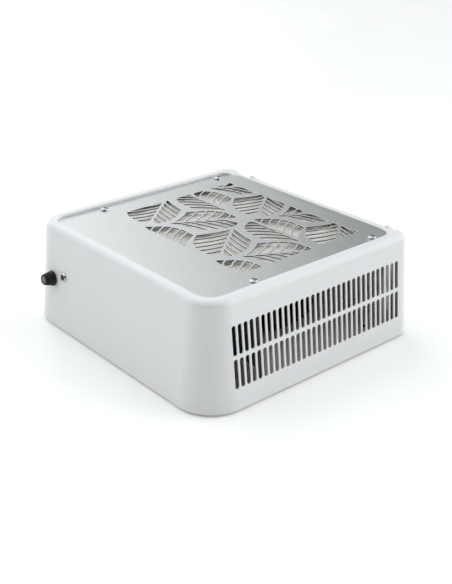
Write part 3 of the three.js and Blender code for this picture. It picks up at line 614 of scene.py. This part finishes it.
def side_slots():
    return joined([
        slot_cutter(SLOT_FIRST_Y - i * SLOT_PITCH, z0, z1, side)
        for side in (1, -1)
        for z0, z1 in SLOT_ROWS
        for i in range(SLOT_COUNT)
    ])


def slot_field_recess():
    """Cutters that thin the side walls from inside where the slots are."""
    shapes = []
    for side in (1, -1):
        rings = []
        for z in (SLOT_FIELD["low"], SLOT_FIELD["high"]):
            near = side_wall_x(z) - SLOT_WALL
            outline = [(near - WALL, -SLOT_FIELD["front"]), (near, -SLOT_FIELD["front"]),
                       (near, SLOT_FIELD["rear"]), (near - WALL, SLOT_FIELD["rear"])]
            rings.append([(side * x, y, z) for x, y in outline])
        shapes.append(loft(rings))
    return joined(shapes)


def rim_gap():
    """Cutter that opens the rim at the front; its ends ramp up to the rim and its edge is rounded."""
    edge_radius = RIM_GAP["round"]
    half = RIM_GAP["half"]
    ramp = RIM_GAP["ramp"]
    back = -PLATE_FRONT + PLATE_FRONT_CORNER
    top = RIM_TOP + 2
    lift = RIM_TOP - TOP_DECK + 0.4
    steps = 10
    ends = [(i / steps, (1 - math.cos(math.pi * i / steps)) / 2) for i in range(steps + 1)]
    stations = [(-half - ramp * t, lift * rise) for t, rise in reversed(ends)]
    stations += [(half + ramp * t, lift * rise) for t, rise in ends]
    rings = []
    for x, rise in stations:
        z = TOP_DECK + rise
        wall = front_wall_y(z)
        edge = [(wall + edge_radius * inward, z - edge_radius * (1 - up)) for up, inward in quarter_round(6)]
        profile = [(-HALF_DEPTH - 4, top), (-HALF_DEPTH - 4, z - edge_radius)] + edge
        profile += [(back, z), (back, top)]
        rings.append([(x, y, v) for y, v in profile])
    return loft(rings)


def plate_well():
    """Cutter for the recess that the grille plate lies in, with a rounded inner edge of the rim."""
    rings = [plate_ring(TOP_DECK, PLATE_GAP)]
    rings += [plate_ring(RIM_TOP - WELL_ROUND * (1 - up), PLATE_GAP + WELL_ROUND * back)
              for up, back in quarter_round(6)]
    rings += [plate_ring(RIM_TOP + 1, PLATE_GAP + WELL_ROUND)]
    return loft(rings)


def filter_opening():
    """Cutter for the rectangular opening in the deck over the filter."""
    half_x = FILTER_HALF_X + FILTER_OPENING["margin"]
    half_y = FILTER_HALF_Y + FILTER_OPENING["margin"]
    bottom = FILTER_OPENING["bottom"]
    return block(-half_x, half_x, CHAMBER_Y - half_y, CHAMBER_Y + half_y, bottom, TOP_DECK + 1)


def make_housing():
    foot = [housing_ring(FOOT_HEIGHT + EDGE_ROUND * back, EDGE_ROUND * (1 - up))
            for up, back in quarter_round(4)]
    rim = [housing_ring(RIM_TOP - RIM_FILLET * (1 - up), RIM_FILLET * back)
           for up, back in quarter_round(10)]
    housing = make_object("housing_shell", loft(foot + rim))
    combine(housing, loft([housing_ring(FOOT_HEIGHT - 1, WALL), housing_ring(TOP_DECK - WALL, WALL)]))
    bosses = [cylinder(x, y, BOSS["radius"], BOSS["bottom"], TOP_DECK - 1) for x, y in BOSSES]
    combine(housing, joined(bosses), "UNION")
    combine(housing, plate_well())
    combine(housing, rim_gap())
    combine(housing, filter_opening())
    inserts = [cylinder(x, y, INSERT_HOLE["radius"], INSERT_HOLE["bottom"], TOP_DECK + 1) for x, y in SCREWS]
    combine(housing, joined(inserts))
    combine(housing, joined([
        moved(cylinder(0, 0, KNOB["hole"], -8, 3), on_rear_wall(KNOB["x"], KNOB["z"])),
        moved(cylinder(0, 0, SOCKET["hole"], -8, 3), on_rear_wall(SOCKET["x"], SOCKET["z"])),
    ]))
    combine(housing, slot_field_recess())
    combine(housing, side_slots())
    shade(housing)
    finish_piece(housing, "white_abs", "upper_housing")


# ---------- grille plate with its leaf cut-outs ----------
def spread_out(steps):
    """Numbers from 0 to 1, closer together near both ends."""
    return [(1 - math.cos(math.pi * i / steps)) / 2 for i in range(steps + 1)]


def clip_to_window(outline):
    """The part of an outline that lies in the pattern's rectangular window."""
    sides = [
        (0, 1, PATTERN["x"]),
        (0, -1, PATTERN["x"]),
        (1, 1, PATTERN["rear"]),
        (1, -1, PATTERN["front"]),
    ]
    for axis, sign, limit in sides:
        kept = []
        for i, p in enumerate(outline):
            q = outline[(i + 1) % len(outline)]
            p_out = sign * p[axis] > limit
            q_out = sign * q[axis] > limit
            if not p_out:
                kept.append(p)
            if p_out != q_out:
                kept.append(p.lerp(q, (sign * limit - p[axis]) / (q[axis] - p[axis])))
        outline = kept
    return outline


def rib_curve(leaf, shift, half, along):
    """Centre line of the rib that leaves the mid-rib at `along`, from 0 there to 1 at the leaf's edge."""
    base = Vector(leaf["base"]) + shift
    axis = Vector(leaf["tip"]) + shift - base
    length = axis.length
    axis.normalize()
    across = Vector((-axis.y, axis.x)) * half["side"]
    span = half["reach"] * math.cos(math.pi / 2 * max(0, along - WIDEST) / NARROWING)

    def point(t):
        forward = along * length + span * t * (half["lean"] + RIB_CURL * (1 - t))
        return base + axis * forward + across * (MID_RIB_HALF + (span - MID_RIB_HALF) * t)
    return point


def rib_edge(leaf, shift, half, along, to_tip):
    """Edge of a gap along one of its two ribs. to_tip is +1 on the rib nearer the base."""
    curve = rib_curve(leaf, shift, half, along)
    edge = []
    for t in spread_out(RIB_STEPS):
        ahead = (curve(t + 0.02) - curve(t - 0.02)).normalized()
        to_gap = Vector((ahead.y, -ahead.x)) * half["side"] * to_tip
        edge.append(curve(t) + to_gap * RIB_WIDTH / 2)
    return edge


def straight(start, end):
    """Points between the two ends, without them."""
    return [start.lerp(end, t) for t in spread_out(6)[1:-1]]


def signed_area(outline):
    return sum(outline[i - 1].cross(p) for i, p in enumerate(outline)) / 2


def corners_cut(outline):
    """One round of corner cutting."""
    smoothed = []
    for i, p in enumerate(outline):
        q = outline[(i + 1) % len(outline)]
        smoothed += [p.lerp(q, 0.25), p.lerp(q, 0.75)]
    return smoothed


def widened(outline, distance):
    """A counter-clockwise outline moved out by a small distance."""
    moved_out = []
    for i, p in enumerate(outline):
        along = (outline[(i + 1) % len(outline)] - outline[i - 1]).normalized()
        moved_out.append(p + Vector((along.y, -along.x)) * distance)
    return moved_out


def without_repeats(outline):
    return [p for i, p in enumerate(outline) if (p - outline[i - 1]).length > 0.02]


def gap_outline(leaf, shift, half, k):
    """Counter-clockwise outline of one gap between two ribs, or None if too little of it is in the window."""
    step = (half["end"] - half["start"]) / half["gaps"]
    near = rib_edge(leaf, shift, half, half["start"] + step * k, 1)
    far = rib_edge(leaf, shift, half, half["start"] + step * (k + 1), -1)[::-1]
    outline = clip_to_window(near + straight(near[-1], far[0]) + far + straight(far[-1], near[0]))
    if len(outline) < 3 or abs(signed_area(outline)) < SMALLEST_GAP:
        return None
    if signed_area(outline) < 0:
        outline.reverse()
    for _ in range(CORNER_CUTS):
        outline = corners_cut(outline)
    return without_repeats(outline)


def leaf_cutters():
    """Cutters for all gaps of the three leaves, repeated from cell to cell over the window."""
    levels = [
        (PLATE_TOP - PLATE_THICKNESS - 1, 0),
        (PLATE_TOP - PLATE_EDGE, 0),
        (PLATE_TOP, PLATE_EDGE),
        (PLATE_TOP + 1, PLATE_EDGE),
    ]
    across, along = [Vector(side) for side in LEAF_CELL]
    shifts = [across * i + along * j for i in range(-2, 3) for j in range(-2, 3)]
    gaps = [(leaf, half, k) for leaf in LEAVES for half in leaf["halves"] for k in range(half["gaps"])]
    outlines = [gap_outline(leaf, shift, half, k) for shift in shifts for leaf, half, k in gaps]
    return joined([
        loft([[(p.x, p.y, z) for p in widened(outline, spread)] for z, spread in levels])
        for outline in outlines if outline
    ])


def make_grille():
    bottom = PLATE_TOP - PLATE_THICKNESS
    plate = make_object("grille_sheet", loft([
        plate_ring(bottom, 0),
        plate_ring(PLATE_TOP - PLATE_EDGE, 0),
        plate_ring(PLATE_TOP, -PLATE_EDGE),
    ]))
    holes = [cylinder(x, y, SCREW_HEAD["hole"], bottom - 1, PLATE_TOP + 1) for x, y in SCREWS]
    combine(plate, joined(holes))
    combine(plate, leaf_cutters())
    shade(plate, 20)
    finish_piece(plate, "stainless", "grille_plate")
    # The cut walls get a dark tone that paints their reflection of the dark surroundings.
    plate.data.materials.append(painted_reflection_edge("laser_cut_edge_dark_reflection", (0.16, 0.155, 0.145)))
    for face in plate.data.polygons:
        if abs(face.normal.z) < 0.3:
            face.material_index = 1


# ---------- fasteners and feet ----------
def cross_recess(arm, top, depth):
    """Two tapered blades that together cut the cross recess of a screw head."""
    blades = []
    for turn in (0, 90):
        rings = []
        for z, scale in ((top - depth, 0.45), (top + 0.3, 1.05)):
            half = arm * scale
            width = 0.42 * (0.7 + 0.3 * scale)
            outline = [(-half, -width), (half, -width), (half, width), (-half, width)]
            spin = Matrix.Rotation(math.radians(turn), 2)
            rings.append([tuple(spin @ Vector(p)) + (z,) for p in outline])
        blades.append(loft(rings))
    return blades


def make_grille_screws():
    head = SCREW_HEAD["radius"]
    height = SCREW_HEAD["height"]
    dome = [(head * math.cos(a), height * (0.35 + 0.65 * math.sin(a)))
            for a in [math.pi / 2 * i / 9 for i in range(9)]]
    profile = [(0, -9), (1.5, -9), (1.9, -8.2), (1.9, 0), (head - 0.2, 0), (head, 0.2)] + dome + [(0, height)]
    for i, (x, y) in enumerate(SCREWS):
        spin = Matrix.Rotation(math.radians(20 + 37 * i), 4, "Z")
        place = Matrix.Translation((x, y, PLATE_TOP + 0.05)) @ spin
        screw = make_object(f"pan_screw_{i + 1}", moved(turned(profile, 56), place))
        for blade in cross_recess(arm=2.1, top=height, depth=1.5):
            combine(screw, moved(blade, place))
        shade(screw, 28)
        finish_piece(screw, "chrome", f"grille_screw_{i + 1}")


def make_feet():
    for i in range(1, 5):
        low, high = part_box(f"foot_{i}")
        x = (low.x + high.x) / 2 / MM
        y = (low.y + high.y) / 2 / MM - CENTRE_Y
        profile = [(0, 0.25), (4.6, 0.25), (5, 0), (7.2, 0), (7.8, 0.3), (8, 0.9), (8, 2.2), (2.7, 2.2),
                   (2.7, 5.2), (0, 5.2)]
        foot = make_object(f"rubber_foot_{i}", moved(turned(profile, 48), Matrix.Translation((x, y, 0))))
        shade(foot)
        finish_piece(foot, "rubber", f"foot_{i}")


# ---------- filter media ----------
def fold_height(u):
    """Height of the folded sheet from 0 to 1, at u from 0 to 1 across the filter."""
    sharpness = 0.93
    wave = math.asin(sharpness * math.sin(2 * math.pi * (u * PLEATS - 0.25))) / math.asin(sharpness)
    return ((wave + 1) / 2) ** CREST_WIDTH


def make_filter_media():
    """Pleated sheet: rounded folds along Y, slightly uneven and crinkled."""
    half_x = FILTER_HALF_X - FRAME_WALL - 0.3
    half_y = FILTER_HALF_Y - FRAME_WALL - 0.3
    across = 10 * PLEATS
    along = 70
    low = FILTER_BOTTOM + 0.7
    high = FILTER_TOP - 0.8 - PAPER_THICKNESS
    points = []
    for lift in (0, PAPER_THICKNESS):
        for j in range(along + 1):
            y = -half_y + 2 * half_y * j / along
            for i in range(across + 1):
                u = i / across
                x = -half_x + 2 * half_x * u
                inner = min(1, i / 6, (across - i) / 6)
                sway = 0.7 * smooth_noise.noise(Vector((x * 0.05, y * 0.035, 0))) * inner
                crinkle = 0.3 * smooth_noise.noise(Vector((x * 0.35, y * 0.18, 5)))
                z = low + (high - low) * fold_height(u) + crinkle
                points.append((x + sway, y + CHAMBER_Y, z + lift))
    row = across + 1
    layer = row * (along + 1)
    faces = []
    for j in range(along):
        for i in range(across):
            a = j * row + i
            faces.append((a, a + row, a + row + 1, a + 1))
            faces.append((layer + a, layer + a + 1, layer + a + row + 1, layer + a + row))
    border = list(range(row))
    border += [j * row + across for j in range(1, along + 1)]
    border += [along * row + i for i in range(across - 1, -1, -1)]
    border += [j * row for j in range(along - 1, 0, -1)]
    for k, a in enumerate(border):
        b = border[(k + 1) % len(border)]
        faces.append((a, b, layer + b, layer + a))
    media = make_object("pleated_media", (points, faces))
    shade(media, 60)
    finish_piece(media, "filter_paper", "filter_media")


# ---------- speed knob and power socket ----------
def ribbed(radius, z, angle):
    """Radius of the knob, cut back between the ribs of its grip."""
    start = KNOB_RIBS["start"]
    on_grip = radius > KNOB["front"] - 0.2 and start < z < KNOB["height"] - 0.3
    if not on_grip:
        return radius
    depth = KNOB_RIBS["depth"] * min(1, (z - start) / 1.2)
    return radius - depth * (0.5 - 0.5 * math.cos(KNOB_RIBS["count"] * angle)) ** 2


def make_knob():
    """Black knob with a flared skirt and a ribbed, tapering grip."""
    top = KNOB["height"]
    front = KNOB["front"]
    skirt = KNOB["skirt"]
    wide = KNOB["grip"]
    grip = [(wide - (wide - front - 0.1) * t, 3.8 + (top - 4.5) * t) for t in [i / 8 for i in range(9)]]
    profile = [(0, 8.8), (3.2, 8.8), (3.2, 2.6), (6.3, 2.6), (6.3, 0.5), (skirt - 0.25, 0.5),
               (skirt, 0.75), (skirt, 1.4), (skirt - 0.1, 2.0), (skirt - 0.3, 2.8)]
    profile += grip
    profile += [(front - 0.1, top - 0.2), (front - 0.45, top), (3.85, top), (3.7, top - 0.15),
                (3.7, top - 0.9), (0, top - 0.9)]
    shape = turned(profile, KNOB_RIBS["count"] * 10, ribbed)
    knob = make_object("control_knob", moved(shape, on_rear_wall(KNOB["x"], KNOB["z"])))
    shade(knob, 38)
    finish_piece(knob, "knob_black", "speed_knob")


def make_knob_cap():
    """Grey turned disc in the knob's end, with a ring groove and a pointer slot."""
    place = on_rear_wall(KNOB["x"], KNOB["z"])
    top = KNOB["height"]
    edge = [(3.5, top - 0.4), (3.4, top - 0.25), (3.2, top - 0.15)]
    rings = [(2.9, top - 0.13), (2.75, top - 0.25), (2.5, top - 0.25), (2.35, top - 0.12)]
    profile = [(0, top - 0.8), (3.5, top - 0.8)] + edge + rings + [(0, top - 0.1)]
    cap = make_object("knob_face", moved(turned(profile, 72), place))
    pointer = block(-0.28, 0.28, 0.4, 3.2, top - 0.35, top + 1)
    combine(cap, moved(pointer, place))
    shade(cap, 30)
    finish_piece(cap, "knob_grey", "knob_cap")


def make_socket():
    """Round inlet with one pin in a shallow bore, held by a ring nut."""
    place = on_rear_wall(SOCKET["x"], SOCKET["z"])
    barrel = SOCKET["barrel"]
    outer = SOCKET["ring"]
    pin = [(0.8, -3.2), (0.8, -1.2), (0.65, -0.8), (0.4, -0.7), (0, -0.7)]
    bore = [(3.15, 0.9), (2.95, 0.75), (2.9, 0.5), (2.9, -3.2)]
    outside = [(0, -14), (7, -14), (7, -3.5), (barrel, -3.5), (barrel, 0.7), (barrel - 0.1, 0.9)]
    body = make_object("inlet_socket", moved(turned(outside + bore + pin, 56), place))
    shade(body, 30)
    finish_piece(body, "steel", "power_socket")
    ring_profile = [(barrel + 0.15, 0.2), (outer, 0.2), (outer, 0.5), (outer - 0.15, 0.75),
                    (barrel - 0.25, 1.75), (barrel - 0.5, 1.8), (barrel - 0.7, 1.6), (barrel - 0.7, 1.1),
                    (barrel + 0.15, 1.1)]
    ring = make_object("inlet_ring_nut", moved(turned(ring_profile, 64), place))
    shade(ring, 30)
    finish_piece(ring, "chrome", "socket_ring")


# ---------- hand rest ----------
def rest_section(scale_reach, scale_height):
    """D-shaped section of the hand rest in (y, z), flat at the back."""
    steps = 28
    points = []
    for i in range(steps + 1):
        a = -math.pi / 2 + math.pi * i / steps
        reach = REST["reach"] * scale_reach * abs(math.cos(a)) ** 0.85
        points.append((-REST["back"] - reach, REST["z"] + REST["half_height"] * scale_height * math.sin(a)))
    return points


def inflate(obj, pressure, limit, hold_back):
    """Swells a closed form as padding under a cover does, by at most `limit` millimetres.

    No point gets past hold_back, the frame's Y of the bar behind it.
    """
    start = [v.co.copy() for v in obj.data.vertices]
    cloth = obj.modifiers.new("cloth", "CLOTH")
    settings = cloth.settings
    settings.quality = 6
    settings.mass = 0.25
    settings.use_pressure = True
    settings.uniform_pressure_force = pressure
    settings.tension_stiffness = 12
    settings.compression_stiffness = 12
    settings.bending_stiffness = 0.4
    settings.effector_weights.gravity = 0
    scene = bpy.context.scene
    for step in range(1, 21):
        scene.frame_set(step)
    graph = bpy.context.evaluated_depsgraph_get()
    swollen = [v.co.copy() for v in obj.evaluated_get(graph).data.vertices]
    obj.modifiers.remove(cloth)
    scene.frame_set(1)
    for vertex, before, after in zip(obj.data.vertices, start, swollen):
        step = after - before
        if step.length > limit * MM:
            step = step.normalized() * limit * MM
        place = before + step
        place.y = min(place.y, hold_back)
        vertex.co = place


def make_hand_rest_pad():
    half = REST["half_length"] - 0.7
    rings = []
    for x, swell in ((-half, 0.86), (-half + 0.9, 0.93), (-half + 2.6, 0.965), (half - 2.6, 0.965),
                     (half - 0.9, 0.93), (half, 0.86)):
        rings.append([(x, y, z) for y, z in rest_section(swell - 0.02, swell)])
    pad = make_object("hand_rest_cushion", loft(rings))
    remesh = pad.modifiers.new("remesh", "REMESH")
    remesh.mode = "VOXEL"
    remesh.voxel_size = 2.4 * MM
    apply_modifiers(pad)
    back = to_frame((0, -REST["back"] - 0.05, 0))[1]
    inflate(pad, pressure=4, limit=1.1, hold_back=back)
    subdivide = pad.modifiers.new("subdivide", "SUBSURF")
    subdivide.levels = 2
    subdivide.render_levels = 2
    apply_modifiers(pad)
    sew_pad(pad, back)
    shade(pad, 75)
    finish_piece(pad, "leather", "hand_rest_pad")
    return pad


def sew_pad(pad, back):
    """Pulls the cover in along the two seams, with small puckers beside the stitches."""
    middle = REST["z"] * MM
    pull_depth = 0.75
    pull_width = 0.8
    pucker_depth = 0.16
    pucker_width = 1.6
    pucker_place = 2.2
    pucker_pitch = 2 * STITCH["pitch"]
    for vertex in pad.data.vertices:
        x = vertex.co.x / MM
        height = (vertex.co.z - middle) / MM
        if vertex.co.y > back - 1.5 * MM:
            continue
        fade = min(1, max(0, (REST["half_length"] - abs(x)) / 3))
        for seam in SEAMS:
            away = abs(height - seam)
            pull = pull_depth * math.exp(-((away / pull_width) ** 2))
            beside = math.exp(-((away - pucker_place) / pucker_width) ** 2)
            pucker = pucker_depth * beside * math.sin(2 * math.pi * x / pucker_pitch)
            outward = Vector((0, -1, height / REST["half_height"])).normalized()
            vertex.co -= outward * (pull + pucker) * fade * MM


def stitch(surface, middle, height, tilt):
    """One stitch along X that lies on the cover and dips into it at both ends."""
    radius = STITCH["radius"]
    rings = []
    for t, thick in ((-0.5, 0.25), (-0.42, 0.75), (-0.2, 1), (0.2, 1), (0.42, 0.75), (0.5, 0.25)):
        x = middle + STITCH["length"] * t
        z = height + tilt * t
        start = Vector(to_frame((x, -REST["back"] - 30, z)))
        hit = surface.ray_cast(start, Vector((0, 1, 0)))
        y = hit[0].y / MM - CENTRE_Y - STITCH["sink"] + 0.5 * (2 * t) ** 4 * radius
        rings.append([(x, v, w) for v, w in arc(y, z, radius * thick, 0, 360, 8)[:-1]])
    return loft(rings)


def make_stitches(pad):
    """Rows of thread on both sides of each seam."""
    surface = BVHTree.FromObject(pad, bpy.context.evaluated_depsgraph_get())
    reach = REST["half_length"] - 3
    count = int(2 * reach / STITCH["pitch"])
    draw = random.Random(7)
    shapes = []
    for seam in SEAMS:
        for beside in (-STITCH["beside_seam"], STITCH["beside_seam"]):
            for k in range(count):
                middle = -reach + STITCH["pitch"] * (k + 0.5)
                shapes.append(stitch(surface, middle, REST["z"] + seam + beside, draw.uniform(-0.12, 0.12)))
    thread = make_object("hand_rest_stitching", joined(shapes))
    shade(thread, 60)
    finish_piece(thread, "leather", body=NODE_BODY["hand_rest_pad"])


def rest_cap_outline(inset):
    """D-shaped end cap in (y, z) with a small round knob on top."""
    reach = REST["reach"] + REST_CAP["margin"] - inset
    height = REST["half_height"] + REST_CAP["lip"] - inset
    back = -REST["bar_back"] - inset
    knob = REST_CAP["knob_radius"]
    knob_z = REST["z"] + REST_CAP["knob_top"] - knob
    top_round = 1.2
    low_round = 4
    bulge = [(-REST["back"] - y, REST["z"] + z * height / reach) for y, z in arc(0, 0, reach, -90, 74, 40)]
    return (
        bulge
        + arc(-REST_CAP["knob_back"], knob_z, knob - inset, 180, 0, 12)
        + arc(back - top_round, REST["z"] + height - top_round, top_round, 85, 0, 5)
        + arc(back - low_round, REST["z"] - height + low_round, low_round, 0, -90, 6)
    )


def make_rest_caps():
    for name, side in (("right", 1), ("left", -1)):
        rings = []
        for depth, inset in ((0.3, 0.5), (0.45, 0.15), (0.8, 0), (2.5, 0), (3.0, 0.25), (3.3, 0.9)):
            x = side * (REST["half_length"] + depth)
            rings.append([(x, y, z) for y, z in rest_cap_outline(inset)])
        cap = make_object(f"rest_end_cap_{name}", loft(rings))
        shade(cap, 40)
        finish_piece(cap, "white_abs", f"hand_rest_cap_{name}")


# ---------- painted shade sheet in the electronics bay ---
def make_shade_sheet_in_bay():
    """Black sheet in the foam finish on the upper part of the partition and along its two ends, seen through
    the slots: painted shade for the dark bay behind them.
    """
    near = PARTITION_Y + BAY_SHADE["off_partition"]
    far = near + BAY_SHADE["thickness"]
    start = PARTITION_Y - BAY_SHADE["wrap"]
    sheet = []
    for z in (BAY_SHADE["low"], BAY_SHADE["high"]):
        x = side_wall_x(z) - WALL - 2
        sheet.append([(-x, near, z), (x, near, z), (x, far, z), (-x, far, z)])
    shapes = [loft(sheet)]
    for side in (1, -1):
        strip = []
        for z in (SLOT_FIELD["low"] + 0.5, SLOT_FIELD["high"] - 0.5):
            outer = side * (side_wall_x(z) - SLOT_WALL - 0.3)
            inner = side * (side_wall_x(z) - WALL - 0.5)
            strip.append([(inner, start, z), (outer, start, z), (outer, far, z), (inner, far, z)])
        shapes.append(loft(strip))
    # A black sheet as painted shade behind the slots.
    dark_sheet = make_object("painted_bay_shade", joined(shapes))
    finish_piece(dark_sheet, "foam", body=NODE_BODY["fan_deck"])


# ---------- CAD nodes that stay ----------
def finish_cad_nodes():
    """Gives each CAD node the procedural material of its slot in the record."""
    slots = {part["node"]: part["material_slot"] for part in frame["record"]["subparts"]}
    for name, obj in frame["nodes"].items():
        obj.data.materials.clear()
        obj.data.materials.append(MATERIALS[slots[name]])
        obj.data.shade_smooth()
        obj.data.set_sharp_from_angle(angle=math.radians(35))


# ---------- stage ----------
def make_floor():
    corners = [(x * FLOOR_HALF, y * FLOOR_HALF, 0) for x, y in ((-1, -1), (1, -1), (1, 1), (-1, 1))]
    floor = make_object("floor", (corners, [(0, 1, 2, 3)]))
    s = Surface("floor_white", 0.34, Specular_IOR_Level=0.4, Emission_Color=(1, 1, 1, 1),
                Emission_Strength=FLOOR_GLOW)
    s.shaded(s.noise(3, 2), (0.955, 0.955, 0.955, 1), (0.965, 0.965, 0.965, 1))
    s.gloss(s.noise(8, 2), 0.32, 0.36)
    floor.data.materials.append(s.material)


def direction_at(turn, elevation):
    """Unit vector `turn` degrees right of the camera's forward direction, at an elevation."""
    a = math.radians(CAMERA_AZIMUTH + 180 - turn)
    e = math.radians(elevation)
    return Vector((math.sin(a) * math.cos(e), -math.cos(a) * math.cos(e), math.sin(e)))


def sky_light(tree, direction, turn, elevation, fade, full, strength):
    """Strength of one soft light in a direction: full in its middle, and nothing past its edge."""
    middle = direction_at(turn, elevation)
    facing = add_node(tree, "ShaderNodeVectorMath", {0: direction, 1: middle}, operation="DOT_PRODUCT")
    inputs = {
        "Value": facing.outputs["Value"],
        "From Min": math.cos(math.radians(fade)),
        "From Max": math.cos(math.radians(full)),
        "To Min": 0,
        "To Max": strength,
    }
    return add_node(tree, "ShaderNodeMapRange", inputs, interpolation_type="SMOOTHSTEP").outputs["Result"]


def make_sky():
    """Studio light: broad soft lights all round, and plain white where the camera sees past the floor."""
    world = bpy.data.worlds.new("studio")
    bpy.context.scene.world = world
    world.use_nodes = True
    tree = world.node_tree
    tree.nodes.clear()
    direction = add_node(tree, "ShaderNodeTexCoord").outputs["Generated"]
    strengths = [sky_light(tree, direction, *light) for light in SKY_LIGHTS]
    total = strengths[0]
    for strength in strengths[1:]:
        total = add_node(tree, "ShaderNodeMath", {0: total, 1: strength}).outputs[0]
    light = add_node(tree, "ShaderNodeBackground", {"Color": SKY_TINT, "Strength": total})
    white = add_node(tree, "ShaderNodeBackground", {"Color": (1, 1, 1, 1)})
    seen = add_node(tree, "ShaderNodeLightPath").outputs["Is Camera Ray"]
    choice = add_node(tree, "ShaderNodeMixShader", {0: seen, 1: light.outputs[0], 2: white.outputs[0]})
    add_node(tree, "ShaderNodeOutputWorld", {"Surface": choice.outputs[0]})


def make_camera():
    data = bpy.data.cameras.new("camera")
    data.lens = CAMERA_LENS
    data.sensor_width = CAMERA_SENSOR
    data.sensor_fit = "HORIZONTAL"
    data.clip_start = 0.05
    data.clip_end = 50
    camera = bpy.data.objects.new("camera", data)
    look = direction_at(0, -CAMERA_ELEVATION)
    camera.rotation_euler = look.to_track_quat("-Z", "Y").to_euler()
    camera.location = CAMERA_PLACE
    bpy.context.scene.collection.objects.link(camera)
    bpy.context.scene.camera = camera


make_camera()
make_sky()
make_floor()
bpy.context.scene.view_settings.view_transform = "Standard"
finish_cad_nodes()
make_housing()
make_grille()
make_grille_screws()
make_feet()
make_filter_media()
make_knob()
make_knob_cap()
make_socket()
make_shade_sheet_in_bay()
make_rest_caps()
cushion = make_hand_rest_pad()
make_stitches(cushion)
